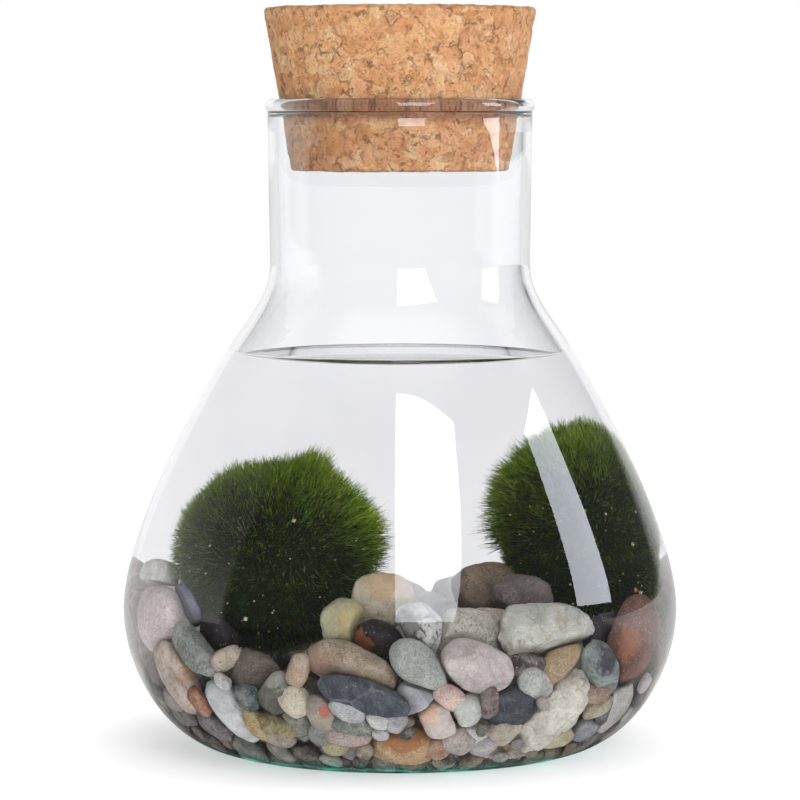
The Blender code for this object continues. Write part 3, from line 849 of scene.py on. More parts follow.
# Looks of the pebbles at the back and underneath, in turn.
BACK_PEBBLES = (
    ("fine_granite", (190, 187, 180), (202, 199, 191), (140, 136, 128), (206, 202, 192), 22, 0.8),
    ("sandstone", (186, 166, 138), (200, 182, 154), (144, 120, 90), (212, 198, 172), 20, 0.8),
    ("smooth", (206, 203, 195), (214, 211, 204), (176, 172, 162), (190, 186, 178), 20, 0.7),
    ("smooth", (214, 204, 202), (224, 216, 213), (176, 158, 154), (200, 186, 182), 22, 0.8),
    ("granite", (206, 190, 182), (218, 204, 196), (150, 130, 122), (222, 212, 206), 20, 0.8),
    ("basalt", (84, 76, 74), (100, 92, 88), (58, 52, 50), (140, 132, 126), 24, 0.9),
    ("quartz", (204, 194, 176), (216, 207, 190), (168, 146, 110), (170, 154, 130), 30, 1.0),
)

# Patches of other colour on a pebble: each one's place as parts of the half box (right, far,
# up), its reach in millimetres, colour and strength. The first patch of pitted_white, low at
# its left, is painted shade.
PATCHES_AND_SHADE = {
    "red_spot": (((0.1, -0.95, 0.1), 1.5, (196, 92, 70), 0.75),),
    "peach_quartz": (((0.0, -0.7, 0.75), 4.0, (222, 186, 140), 0.7),),
    "sandstone": (((0.0, -0.7, 0.7), 5.5, (178, 122, 80), 0.85),),
    "black_veined": (((-0.6, -0.8, 0.1), 3.6, (66, 62, 62), 0.7),),
    "peach_pink": (((-0.75, -0.8, 0.5), 3.6, (230, 166, 130), 0.55),),
    "black_basalt": (((-0.85, -0.6, 0.1), 3.2, (150, 98, 66), 0.8),),
    "tan_granite": (((-0.75, -0.7, -0.1), 5.2, (150, 118, 100), 0.6),),
    "terracotta": (((0.1, -0.9, 0.0), 3.4, (180, 118, 86), 0.5),),
    "pitted_white": (
        # Painted shade, low at the stone's left.
        ((-0.55, -0.6, -0.8), 4.4, (128, 119, 104), 0.75),
        ((0.12, -0.8, -0.15), 1.4, (170, 142, 88), 0.8),
        ((0.4, -0.5, 0.6), 1.8, (200, 190, 146), 0.5),
    ),
    "green_chert": (((0.8, -0.6, 0.4), 3.6, (66, 58, 72), 0.8),),
    "veined_quartz": (((0.4, -0.8, 0.3), 3.4, (198, 140, 96), 0.6),),
    "grey_quartz": (((0.0, -0.6, 0.9), 3.8, (186, 184, 174), 0.6),),
    "cream_quartz": (((0.4, -0.8, 0.3), 3.6, (206, 186, 128), 0.6),),
}


def stone_finish(tree, grain_node, colour, depth):
    """The shader of a stone in this colour, with the grain's roughness and its relief."""
    rough, relief = grain_node.outputs["Roughness"], grain_node.outputs["Relief"]
    finish(tree, colour, rough, relief, depth, 0.8, Specular_IOR_Level=0.12)


def stone_material(name, look, grain, patch_and_shade, number, centre, half):
    """One pebble's own stone, from the shared grain at that stone's settings."""
    kind, base, second, mark, vein = look[:5]
    material, tree = empty_material("Stone " + name.replace("_", " ").title())
    turn = (0.7 * number, 1.3 * number, 0.4 * number)
    place = own_place(tree, (11.0 * number, 7.0 * number, -5.0 * number), turn)
    made = add(
        tree,
        "ShaderNodeGroup",
        {"node_tree": grain},
        Place=place,
        Base=linear(*base),
        Second=linear(*second),
        Mark=linear(*mark),
        Vein_Colour=linear(*vein),
    )
    for label, value in zip(FINISH_SOCKETS, STONE_FINISHES[kind]):
        made.inputs[label].default_value = value
    colour = made.outputs["Colour"]
    for spot, reach, tint, amount in PATCHES_AND_SHADE.get(name, ()):
        soft = add(
            tree,
            "ShaderNodeGroup",
            {"node_tree": patch_and_shade},
            Place=own_place(tree),
            Colour=colour,
            Spot_Colour=linear(*tint),
            Centre=tuple(float(part) for part in centre + half * np.array(spot)),
            Reach=reach,
            Amount=amount,
        )
        colour = soft.outputs["Colour"]
    stone_finish(tree, made, colour, 0.00016)
    return material


def gravel_material(name, grain):
    """Small stones: each keeps its own tint, under the same cloud and specks."""
    material, tree = empty_material(name)
    tint = add(tree, "ShaderNodeAttribute", {"attribute_name": "stone"})
    paler = blend(tree, 0.3, tint.outputs["Color"], linear(220, 215, 205))
    darker = blend(tree, 0.6, tint.outputs["Color"], linear(60, 52, 46), "MULTIPLY")
    made = add(
        tree,
        "ShaderNodeGroup",
        {"node_tree": grain},
        Place=own_place(tree),
        Base=tint.outputs["Color"],
        Second=paler,
        Mark=darker,
        Vein_Colour=paler,
        Patch_Size=2.0,
        Speck_Size=0.5,
        Speck_Share=0.2,
        Pale_Specks=0.15,
        Veins=0.3,
        Vein_Size=4.0,
    )
    stone_finish(tree, made, made.outputs["Colour"], 0.00012)
    return material


# The flask and what it holds -------------------------------------------------------------


def curve(start, start_handle, end_handle, end, steps):
    """Points of a cubic curve, both ends included.

    Each is (1-t)^3 start + 3 (1-t)^2 t start_handle + 3 (1-t) t^2 end_handle + t^3 end.
    """
    t = np.linspace(0.0, 1.0, steps + 1)[:, None]
    ends = (1 - t) ** 3 * np.array(start) + t**3 * np.array(end)
    near = 3 * (1 - t) ** 2 * t * np.array(start_handle)
    return ends + near + 3 * (1 - t) * t**2 * np.array(end_handle)


def heel(foot_radius, foot_height, body_radius, steps):
    """A quarter superellipse from the foot out and up to the widest ring.

    The radius grows as sin(t)^p and the height as 1 - cos(t)^p, with p = 2 / HEEL_ROUNDNESS.
    """
    t = np.linspace(0.0, math.pi / 2, steps + 1)
    power = 2.0 / HEEL_ROUNDNESS
    radius = foot_radius + (body_radius - foot_radius) * np.sin(t) ** power
    height = foot_height + (BELLY_HEIGHT - foot_height) * (1.0 - np.clip(np.cos(t), 0, 1) ** power)
    return np.stack([radius, height], axis=1)


def cone_and_neck(steps):
    """The outer side from the widest ring up over the cone, waist and neck to under the rim."""
    lean = np.array([-math.sin(WAIST_LEAN), math.cos(WAIST_LEAN)])
    waist = np.array(WAIST)
    cone = curve(
        (BODY_RADIUS, BELLY_HEIGHT),
        (BODY_RADIUS, BELLY_HEIGHT + BELLY_HANDLE),
        waist - lean * WAIST_HANDLES[0],
        waist,
        steps,
    )
    shoulder = curve(
        waist, waist + lean * WAIST_HANDLES[1], (NECK[0], NECK[1] - NECK_HANDLE), NECK, steps // 2
    )
    mouth = np.linspace(NECK, (MOUTH_RADIUS, RIM_HEIGHT - NECK_WALL / 2), 12)
    return np.concatenate([cone, shoulder[1:], mouth[1:]])


def inner_wall(steps):
    """The inner outline: the outer one moved inwards by the wall's thickness."""
    lower = heel(INNER_FOOT_RADIUS, BASE_THICKNESS, BODY_RADIUS - WALL, steps)
    outer = cone_and_neck(steps)
    rise = np.clip((outer[:, 1] - BELLY_HEIGHT) / (NECK[1] - BELLY_HEIGHT), 0.0, 1.0)
    upper = outer - outline_normals(outer) * (WALL + (NECK_WALL - WALL) * rise)[:, None]
    upper[-1] = (MOUTH_RADIUS - NECK_WALL, RIM_HEIGHT - NECK_WALL / 2)
    return np.concatenate([lower[:-1], upper])


def flask_outline(steps):
    """From the axis under the base, up the outer side, round the lip's bead and down inside."""
    outer = np.concatenate([heel(FOOT_RADIUS, 0.0, BODY_RADIUS, steps)[:-1], cone_and_neck(steps)])
    under_lip = RIM_HEIGHT - 3.0
    outer = outer[outer[:, 1] < under_lip]
    inner = inner_wall(steps)[::-1]
    inner = inner[inner[:, 1] < under_lip]
    lip_centre = np.array([MOUTH_RADIUS - NECK_WALL / 2 + 0.05, RIM_HEIGHT - LIP_BEAD])
    turn = np.radians(np.linspace(-50.0, 230.0, 34))
    lip = lip_centre + LIP_BEAD * np.stack([np.cos(turn), np.sin(turn)], axis=1)
    under = np.array([[0.0, 0.0], [12.0, 0.0], [24.0, 0.0]])
    floor = under[::-1] + (0.0, BASE_THICKNESS)
    return np.concatenate([under, outer, lip, inner, floor])


def water_outline(level, rise, steps, overlap):
    """Up the inner wall, a little into the glass, to a rising edge, then in over the surface.

    The surface stands rise * exp(-d / 2 mm) over the level at d from the wall.
    """
    wall = inner_wall(steps)
    top = np.interp(level + rise, wall[:, 1], wall[:, 0])
    side = np.concatenate([wall[wall[:, 1] < level + rise - 0.1], [(top, level + rise)]])
    side = side + overlap * outline_normals(side)
    inwards = np.concatenate([np.linspace(0.1, 10.0, 40), [12.0, 15.0, 20.0]])
    surface = np.stack([top - inwards, level + rise * np.exp(-inwards / 2.0)], axis=1)
    floor = BASE_THICKNESS - overlap
    return np.concatenate([[(0.0, floor)], [(16.0, floor)], side, surface, [(0.0, level)]])


def cork_mesh(name, low, high, steps):
    """A tapered stopper with rounded edges, its skin moved in and out.

    Each point goes 0.12 * rough noise - 0.9 * pits - 0.1 mm outwards, where pits is the part
    of a noise field over 0.45.
    """
    edge = 0.9
    height = np.linspace(low + edge, high - edge, 110)
    share = (height - low) / (high - low)
    side = np.stack([CORK_RADII[0] + (CORK_RADII[1] - CORK_RADII[0]) * share, height], axis=1)
    turn = np.linspace(-math.pi / 2, 0.0, 6)[:-1]
    foot = np.stack(
        [side[0, 0] - edge + edge * np.cos(turn), low + edge + edge * np.sin(turn)], axis=1
    )
    turn = np.linspace(0.0, math.pi / 2, 6)[1:]
    brow = np.stack(
        [side[-1, 0] - edge + edge * np.cos(turn), high - edge + edge * np.sin(turn)], axis=1
    )
    under = np.stack([np.linspace(0.0, foot[0, 0], 40)[:-1], np.full(39, low)], axis=1)
    over = np.stack([np.linspace(brow[-1, 0], 0.0, 50)[1:], np.full(49, high)], axis=1)
    outline = np.concatenate([under, foot, side, brow, over])
    points = turned_grid(outline[1:-1], steps)
    normal = turned_grid(outline_normals(outline)[1:-1], steps)
    rough = rough_noise(points * 0.45, 5, 4, 0.6)
    pits = np.clip(noise(points * 0.8 + 31.0, 9) - 0.45, 0.0, 1.0)
    points = points + normal * (0.12 * rough - 0.9 * pits - 0.1)[..., None]
    return shell_mesh(name, points, (0, 0, low + 0.1), (0, 0, high - 0.1))


def stone_planes(node):
    """The centre of a CAD stone, and each face's outward direction and distance from it."""
    faces = frame["nodes"][node].data.polygons
    middle, outward, area = (np.empty((len(faces), width)) for width in (3, 3, 1))
    for key, values in (("center", middle), ("normal", outward), ("area", area)):
        faces.foreach_get(key, values.ravel())
    middle = middle / MM
    area = area[:, 0]
    centre = (middle * area[:, None]).sum(axis=0) / area.sum()
    distance = ((middle - centre) * outward).sum(axis=1)
    solid = area > area.max() * 1e-4
    return centre, outward[solid], np.maximum(distance[solid], 0.4)


def stone_reach(directions, outward, distance, sharpness):
    """How far a rounded stone goes each way: r = (sum of (n.u / d)^p)^(-1/p) over its faces."""
    facing = np.maximum(directions @ outward.T, 0.0) / distance
    return (facing**sharpness).sum(axis=-1) ** (-1.0 / sharpness)


def pebble_mesh(node, look, number, rows, columns):
    """A river pebble: the CAD stone's faces rounded together, then worn and pitted by noise.

    Each point's reach is multiplied by 1 + wear + dents + fine + lumps - 0.012, four noise
    fields of falling size, of which the last is there only on a craggy stone.
    """
    sharpness, crags = look[5:7]
    centre, outward, distance = stone_planes(node)
    directions = sphere_grid(rows, columns)
    swell = 1.05
    reach = stone_reach(directions, outward, distance, sharpness) * swell
    ends = stone_reach(POLES, outward, distance, sharpness) * swell
    size = float(np.median(reach))
    points = directions * reach[..., None]
    wear = 0.04 * rough_noise(points / (0.6 * size) + 9.1 * number, number, 3)
    dents = 0.07 * np.minimum(noise(points / (0.33 * size) + 4.7 * number, number + 50) + 0.4, 0.0)
    fine = 0.006 * crags * rough_noise(points * 0.9 + 3.3 * number, number + 90, 3, 0.6)
    lumps = rough_noise(points * 0.55 + number, number + 70, 4, 0.65)
    lumps = 0.022 * max(crags - 1.0, 0.0) * lumps
    points = centre + directions * (reach * (1.0 + wear + dents + fine + lumps - 0.012))[..., None]
    low, high = (centre + pole * end * 0.99 for pole, end in zip(POLES, ends))
    return shell_mesh("Pebble", points, low, high)


def small_stones_mesh(name, places, axes, sizes, tints, rows, columns, seed):
    """Many little stones in one mesh: each a squarish ball stretched along its axes.

    A direction u goes to sign(u) |u|^0.82 on each axis, times the half size, times
    1 + 0.16 * noise + 0.05 * finer noise.
    """
    count = len(places)
    grid = np.concatenate([sphere_grid(rows, columns).reshape(-1, 3), POLES])
    squared = np.sign(grid) * np.abs(grid) ** 0.82
    local = squared[None, :, :] * sizes[:, None, :]
    shift = np.arange(count)[:, None, None] * 5.7
    bumps = 1.0 + 0.16 * noise(grid[None] * 1.35 + shift, seed)
    bumps = bumps + 0.05 * noise(grid[None] * 3.1 + shift, seed + 1)
    local = local * bumps[..., None]
    points = places[:, None, :] + np.einsum("npk,nkj->npj", local, axes)
    quads, triangles = ring_faces(rows, columns)
    step = (np.arange(count) * len(grid))[:, None, None]
    quads, triangles = (quads[None] + step).reshape(-1, 4), (triangles[None] + step).reshape(-1, 3)
    mesh = write_mesh(name, points.reshape(-1, 3) * MM, quads, triangles)
    write_tint(mesh, "stone", np.repeat(tints, len(grid), axis=0))
    return mesh


# Small stones against the front wall: bearing from the front in degrees, height, length and
# width in millimetres, tilt in degrees, depth behind the wall in millimetres, tint.
FRONT_GRAVEL = (
    (-52, 13.0, 6.0, 4.5, 56, 1.0, (170, 112, 80)),
    (-64, 12.0, 7.0, 5.0, 10, 1.0, (170, 156, 154)),
    (-64, 9.3, 8.0, 5.0, -5, 1.0, (132, 130, 124)),
    (-41, 18.0, 4.0, 3.0, 20, 1.0, (210, 212, 208)),
    (-36, 14.8, 5.6, 5.0, 30, 1.0, (76, 94, 94)),
    (-41, 22.0, 8.0, 4.0, -26, 3.0, (200, 180, 160)),
    (-22, 21.0, 6.4, 4.5, -64, 1.8, (190, 165, 140)),
    (-36, 9.4, 8.0, 4.5, 80, 1.0, (180, 150, 92)),
    (-24, 15.0, 6.5, 5.8, 68, 1.0, (216, 205, 180)),
    (-52, 8.0, 8.0, 5.0, 37, 1.0, (120, 110, 115)),
    (-31, 7.6, 7.0, 5.0, 11, 1.0, (160, 145, 130)),
    (-25, 9.7, 6.5, 6.0, 78, 2.0, (140, 140, 130)),
    (-11.5, 13.7, 7.0, 5.4, 40, 1.0, (205, 208, 210)),
    (-11, 10.6, 8.0, 4.5, 7, 1.0, (120, 130, 120)),
    (-5, 12.0, 4.5, 3.5, 21, 1.0, (215, 215, 210)),
    (-4.6, 9.3, 3.0, 2.9, 0, 1.0, (200, 200, 200)),
    (-1, 11.5, 4.2, 4.4, 15, 1.0, (175, 175, 180)),
    (-13, 8.2, 8.5, 5.5, 9, 1.0, (182, 164, 155)),
    (-20, 8.3, 4.2, 4.9, 0, 1.0, (150, 155, 150)),
    (-17, 6.0, 5.0, 4.0, 0, 1.0, (186, 176, 130)),
    (11, 16.0, 6.0, 4.5, 39, 1.9, (224, 194, 180)),
    (20, 15.0, 7.0, 4.0, 80, 1.0, (110, 90, 88)),
    (31, 17.5, 8.5, 5.0, 34, 2.5, (190, 195, 190)),
    (24, 31.7, 7.3, 4.1, 5, 13.0, (205, 185, 165)),
    (29, 21.0, 8.8, 5.4, 16, 4.0, (80, 70, 65)),
    (49, 14.7, 7.0, 4.0, 10, 1.0, (170, 140, 120)),
    (44, 6.5, 8.0, 5.0, 8, 1.0, (200, 190, 150)),
    (52, 12.0, 7.8, 4.4, -12, 1.0, (185, 175, 150)),
    (56, 11.0, 9.0, 6.0, 35, 1.5, (80, 70, 80)),
    (53, 7.4, 7.5, 5.0, 12, 1.0, (150, 150, 160)),
    (26, 8.5, 6.0, 6.5, 20, 1.0, (200, 190, 170)),
    (22, 6.0, 5.4, 5.0, 0, 1.0, (185, 180, 180)),
    (15, 6.7, 6.4, 6.0, 30, 1.0, (190, 180, 170)),
    (10, 5.6, 4.3, 4.5, 0, 1.0, (190, 150, 120)),
    (70, 15.0, 5.0, 4.0, 10, 1.0, (205, 195, 195)),
)

GRAVEL_TINTS = (
    (196, 190, 176),
    (212, 208, 200),
    (170, 150, 126),
    (140, 136, 128),
    (110, 106, 104),
    (84, 80, 82),
    (190, 160, 126),
    (204, 180, 160),
    (150, 120, 96),
    (222, 218, 212),
    (128, 138, 130),
    (176, 168, 160),
    (160, 128, 112),
    (96, 88, 80),
)

# Points tried for the gaps of the bed, and the half sizes looked for, largest first.
GAP_POINTS = 60000
GAP_SIZES = (3.3, 2.9, 2.5, 2.1, 1.75, 1.4)


def wall_radius(height):
    """The inner wall's radius at a height."""
    wall = inner_wall(40)
    return np.interp(height, wall[:, 1], wall[:, 0])


def front_stones():
    """Places, axes and half sizes of the small stones that lie against the front wall."""
    rows = np.array([row[:6] for row in FRONT_GRAVEL], float)
    bearing, tilt = np.radians(rows[:, 0]), np.radians(rows[:, 4])
    height, depth = rows[:, 1], rows[:, 5]
    half = np.stack([rows[:, 2] / 2, rows[:, 3] / 2, rows[:, 3] / 2.4], axis=1)
    slope = (wall_radius(height + 1.0) - wall_radius(height - 1.0)) / 2.0
    out = np.stack([np.sin(bearing), -np.cos(bearing), 0 * bearing], axis=1)
    across = np.stack([np.cos(bearing), np.sin(bearing), 0 * bearing], axis=1)
    normal = unit(out - POLES[1] * slope[:, None])
    up = unit(np.cross(across, -normal))
    length = across * np.cos(tilt)[:, None] - up * np.sin(tilt)[:, None]
    width = across * np.sin(tilt)[:, None] + up * np.cos(tilt)[:, None]
    on_wall = out * wall_radius(height)[:, None] + POLES[1] * height[:, None]
    places = on_wall - normal * (half[:, 2] + depth - 0.4)[:, None]
    axes = np.stack([length, width, normal], axis=1)
    tints = np.array([linear(*row[6]) for row in FRONT_GRAVEL])
    return places, axes, half, tints


def fill_stones(seed, most):
    """Small round stones in the gaps of the bed, largest first.

    Each candidate point knows its room: the least of its distances to the wall, to every
    pebble's faces and to the stones placed so far. A stone goes where the room is enough.
    """
    rng = np.random.default_rng(seed)
    points = rng.uniform((-52, -52, 3.6), (52, 52, 31), (GAP_POINTS, 3))
    radius = np.hypot(points[:, 0], points[:, 1])
    mound = np.array(MOUND_OUTLINE)
    skin = np.interp(radius, mound[:4, 0], mound[:4, 1], left=MOUND_TOP)
    over_mound = MOUND_OUTLINE[3][0]
    top = np.where(radius < over_mound + 0.5, skin + 3.0, 15.5)
    low = np.where(radius < over_mound - 0.5, skin - 1.5, 3.6)
    keep = (points[:, 2] < top) & (points[:, 2] > low) & (radius < wall_radius(points[:, 2]) - 1.2)
    points = points[keep]
    radius = np.hypot(points[:, 0], points[:, 1])
    room = np.minimum((wall_radius(points[:, 2]) - radius) * 0.86, points[:, 2] - BASE_THICKNESS)
    for name in frame["nodes"]:
        if name.startswith("pebble"):
            centre, outward, distance = stone_planes(name)
            outside = ((points - centre) @ outward.T - distance).max(axis=1)
            room = np.minimum(room, outside + 0.1)
        if name.startswith("moss"):
            centre, half = node_box(name)
            outside = (np.linalg.norm((points - centre) / half, axis=1) - 1.0) * half.min()
            room = np.minimum(room, outside)
    front_places, _, front_half, _ = front_stones()
    for place, half in zip(front_places, front_half):
        room = np.minimum(room, np.linalg.norm(points - place, axis=1) - half.mean())
    chosen, sizes = [], []
    for wanted in GAP_SIZES:
        for index in np.flatnonzero(room > wanted):
            if room[index] <= wanted or len(chosen) >= most:
                continue
            size = min(room[index], wanted + 0.4)
            chosen.append(points[index])
            sizes.append(size)
            away = np.linalg.norm(points - points[index], axis=1)
            room = np.minimum(room, away - size * 0.93)
    places, sizes = np.array(chosen), np.array(sizes)
    axes = np.linalg.qr(rng.normal(size=(len(places), 3, 3)))[0]
    half = sizes[:, None] * rng.uniform((0.95, 0.82, 0.62), (1.22, 1.05, 0.9), (len(places), 3))
    tints = np.array([linear(*tint) for tint in GRAVEL_TINTS])
    tints = tints[rng.integers(0, len(GRAVEL_TINTS), len(places))]
    # Each gap stone is darkened by a random share: partly its own tone, partly painted shade in the
    # gaps.
    tints[:, :3] *= rng.uniform(0.5, 1.0, (len(places), 1))
    return places, axes, half, tints


def moss_reach(directions, seed, tufts, share=1.0):
    """How far the felt goes each way, as a part of the ball: soft lumps and a few tufts.

    The lumps are 0.98 + 0.04 * rough noise + 0.03 * |finer noise|. A tuft adds
    share * height * exp(-(angle / spread)^4) round its direction.
    """
    reach = 1.0 + 0.04 * rough_noise(directions * 1.9 + seed, seed, 3)
    reach = reach + 0.03 * np.abs(noise(directions * 4.6 + seed, seed + 3)) - 0.02
    for heading, height, width in tufts:
        angle = np.arccos(np.clip(directions @ unit(np.array(heading, float)), -1.0, 1.0))
        reach = reach + share * height * np.exp(-((angle / width) ** 4))
    return reach


def moss_core_mesh(centre, half, seed, tufts):
    """The felted ball: an ellipsoid with soft lumps, low tufts and fine fuzz."""
    directions = sphere_grid(120, 200)
    inset = 0.04
    fuzz = 0.012 * rough_noise(directions * 11.0, seed + 5, 3, 0.7)
    reach = moss_reach(directions, seed, tufts, 0.4) - inset + fuzz
    points = centre + directions * half * reach[..., None]
    ends = centre + POLES * half * (moss_reach(POLES, seed, tufts) - inset)[:, None]
    return shell_mesh("Moss Felt", points, *ends)


def moss_threads_mesh(centre, half, seed, count, length, comb, tufts, painted_light_heading, spiky=False):
    """Threads all over the ball, each a thin strip that tapers and bends.

    Point at s along a thread: root + L * (s * heading + 0.4 * s * s * bend), s from 0 to 1,
    and the strip's half width shrinks as 1 - 0.8 s. comb leans the headings upwards. The
    strips take about the ball's outward direction as their normal, so they shade as one coat.
    Threads that face the painted light's heading take the brighter, greener colours, painted
    light, and the others darker ones, painted shade. The first tuft is crowded.
    Spiky threads are the wide pale ends that stand out over the others. Their seed is 40
    more, so the remainder gives both coats the same lumps.
    """
    rng = np.random.default_rng(seed)
    out = unit(rng.normal(size=(count, 3)))
    if spiky:
        out[:, 2] = np.where(out[:, 2] < -0.2, -out[:, 2], out[:, 2])
    crowded = np.arange(count) % 24 == 0
    out[crowded] = unit(np.array(tufts[0][0], float) + 0.13 * rng.normal(size=(crowded.sum(), 3)))
    reach = moss_reach(out, seed % 40, tufts, rng.uniform(0.3, 1.0, count))
    depth = rng.uniform(-0.02, 0.02, count) if spiky else rng.uniform(-0.06, -0.01, count)
    root = centre + out * half * (reach + depth)[:, None]
    clump = np.stack([noise(out * 7.0 + k * 9.0, seed + k) for k in (1, 2, 3)], axis=1)
    drift = (0.16 if spiky else 0.22) * rng.normal(size=(count, 3))
    heading = unit(out + (0.3 if spiky else 0.5) * clump + drift + np.array([0, 0, comb]))
    bend = 0.3 * rng.normal(size=(count, 3))
    size = length * rng.uniform(0.5, 1.15, count) * (1.0 + 0.35 * noise(out * 4.0 + 40.0, seed + 9))
    s = np.array([0.0, 0.5, 1.0])
    course = s[:, None] * heading[:, None] + (s * s)[:, None] * 0.4 * bend[:, None]
    path = root[:, None] + size[:, None, None] * course
    side = unit(np.cross(heading, rng.normal(size=(count, 3))))
    width = rng.uniform(0.03, 0.055, count) * (1.7 if spiky else 1.0)
    wide = side[:, None] * (width[:, None] * (1.0 - 0.8 * s))[..., None]
    points = np.stack([path - wide, path + wide], axis=2)
    first = np.arange(count)[:, None] * 6
    quads = (first[:, :, None] + np.array([[0, 1, 3, 2], [2, 3, 5, 4]])[None]).reshape(-1, 4)
    mesh = write_mesh("Moss Threads", points.reshape(-1, 3) * MM, quads)
    coat = unit(out + 0.45 * heading + 0.25 * rng.normal(size=(count, 3)))
    mesh.normals_split_custom_set_from_vertices(np.repeat(coat, 6, axis=0).astype(np.float32))
    # Painted shade: threads rooted in hollows of the felt start nearer the dark root colour.
    hollow = np.clip((1.03 - reach) * 5.0, 0.0, 0.3)
    base, gain = (0.5, 0.5) if spiky else (0.0, 0.85)
    along = np.clip(s[None] * gain - hollow[:, None] + base, 0, 1)
    tone = rng.uniform(0, 1, count)[:, None] + 0 * along
    # Painted light: a share that grows as the thread faces the painted light's heading.
    painted_light_share = 0.46 + out @ np.array(painted_light_heading) + 0.24 * rough_noise(out * 3.1 + 7.0, seed % 40 + 60, 3)
    painted_light_share = np.clip(painted_light_share, 0.0, 1.0)[:, None] + 0 * along
    tint = np.stack([along, tone, painted_light_share, along * 0 + 1], axis=-1)
    write_tint(mesh, "thread", np.repeat(tint[:, :, None], 2, axis=2).reshape(-1, 4))
    return mesh


def moss_bits_mesh(centre, half, seed, tufts):
    """Pale grains of sand and shell caught in the coat."""
    rng = np.random.default_rng(seed + 200)
    count = 150
    out = unit(rng.normal(size=(count, 3)))
    reach = moss_reach(out, seed, tufts) + 1.1 / half.mean()
    places = centre + out * half * reach[:, None]
    axes = np.linalg.qr(rng.normal(size=(count, 3, 3)))[0]
    size = rng.uniform(0.08, 0.2, (count, 1))
    size = size * np.where(rng.uniform(size=(count, 1)) > 0.92, 2.2, 1.0) * np.ones(3)
    tints = np.array([linear(226, 214, 160), linear(236, 232, 214), linear(198, 168, 92)])
    tints = tints[rng.integers(0, len(tints), count)]
    return small_stones_mesh("Moss Bits", places, axes, size, tints, rows=3, columns=6, seed=5)


# Each ball's side, seed, upward lean of its threads and the heading of its painted light:
# that side is painted brighter and greener, the far side painted darker.
MOSS_BALLS = (
    ("left", 3, 0.05, (0.3, 0.85, 0.55)),
    ("right", 8, 0.3, (-0.45, 0.75, 0.5)),
)

# How far each ball outgrows its solid, right, near and up.
MOSS_STRETCH = {"left": (1.0, 1.0, 1.0), "right": (0.965, 1.0, 1.05)}

# The long pale threads of each ball: how many, and how many times as long as the others.
TIP_COUNT = 13000
TIP_LENGTH = 2.6

# Tufts of each ball: direction, height as a part of the ball, spread in radians.
MOSS_TUFTS = {
    "left": (
        ((0.33, -0.12, 0.93), 0.24, 0.18),
        ((0.72, -0.2, 0.68), 0.05, 0.2),
        ((-0.55, -0.3, 0.78), 0.03, 0.4),
        ((0.95, -0.1, 0.25), 0.07, 0.28),
        ((-0.9, -0.4, -0.1), 0.04, 0.4),
    ),
    "right": (
        ((0.1, -0.3, 0.95), 0.05, 0.35),
        ((-0.9, -0.3, 0.35), 0.05, 0.3),
        ((-0.7, -0.5, -0.5), 0.04, 0.35),
    ),
}


# Settings --------------------------------------------------------------------------------


def colour_setting(label, description, default):
    """A colour that the user may change, in linear light."""
    return FloatVectorProperty(
        name=label,
        description=description,
        default=default,
        size=3,
        min=0.0,
        max=1.0,
        subtype="COLOR",
    )


def length_setting(label, description, default):
    """A length that the user may change, in metres."""
    return FloatProperty(
        name=label, description=description, default=default, unit="LENGTH", subtype="DISTANCE"
    )


def brightness_setting(label, description, default):
    """A brightness that the user may change, 1 for white."""
    return FloatProperty(name=label, description=description, default=default, min=0.0)


class FlaskSettings(bpy.types.PropertyGroup):
    """The blown glass."""

    glass_tint: colour_setting(
        "Glass Tint",
        "Colour that the clear wall gives to light passing through",
        (0.985, 0.988, 1.0),
    )
    base_tint: colour_setting(
        "Base Tint", "Colour of the thick glass in the base", (0.22, 0.86, 0.74)
    )
    steps: IntProperty(
        name="Outline Steps",
        description="Points along each curve of the outline",
        default=60,
        min=8,
        max=120,
    )


class WaterSettings(bpy.types.PropertyGroup):
    """The water."""

    level: length_setting(
        "Level", "Height of the still surface over the table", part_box("water")[1][2] - 0.001
    )
    edge_rise: length_setting("Edge Rise", "How far the water climbs the wall at its edge", 0.0019)
    tint: colour_setting(
        "Water Tint", "Colour that the water gives to light passing through", (0.775, 0.775, 0.788)
    )


class CorkSettings(bpy.types.PropertyGroup):
    """The stopper."""

    flake_colour: colour_setting(
        "Flakes", "Usual colour of a cork flake", linear(232, 168, 112)[:3]
    )
    crevice_colour: colour_setting("Crevices", "Colour between the flakes", linear(96, 52, 26)[:3])


class MossSettings(bpy.types.PropertyGroup):
    """The moss balls."""

    threads: IntProperty(
        name="Threads",
        description="Threads on each ball",
        default=48000,
        min=100,
        max=49000,
    )
    thread_length: length_setting("Thread Length", "Usual length of a thread", 0.0010)
    root_colour: colour_setting("Root", "Colour deep in the ball", linear(20, 38, 4)[:3])
    tip_colour: colour_setting(
        "Tip", "Colour near the ends of the threads", linear(184, 218, 24)[:3]
    )


class BedSettings(bpy.types.PropertyGroup):
    """The pebbles and gravel."""

    gravel_count: IntProperty(
        name="Gravel",
        description="Most small stones in the gaps of the bed",
        default=520,
        min=0,
        max=2000,
    )
    gravel_seed: IntProperty(name="Gravel Seed", description="Which scatter of gravel", default=11)


class StageSettings(bpy.types.PropertyGroup):
    """Floor, lights and camera."""

    camera_distance: length_setting("Camera Distance", "From the flask's axis to the camera", 0.755)
    camera_height: length_setting("Camera Height", "Over the floor", 0.125)
    camera_pitch: FloatProperty(
        name="Camera Pitch",
        description="Downward tilt",
        default=math.radians(4.25),
        subtype="ANGLE",
        unit="ROTATION",
    )
    room_light: brightness_setting("Room Light", "Brightness of the room before the flask", 0.1)
    left_wall: brightness_setting("Left Wall", "Brightness of the wall at the flask's left", 0.28)
    back_light: brightness_setting("Back Light", "Brightness of the sweep behind the flask", 1.0)


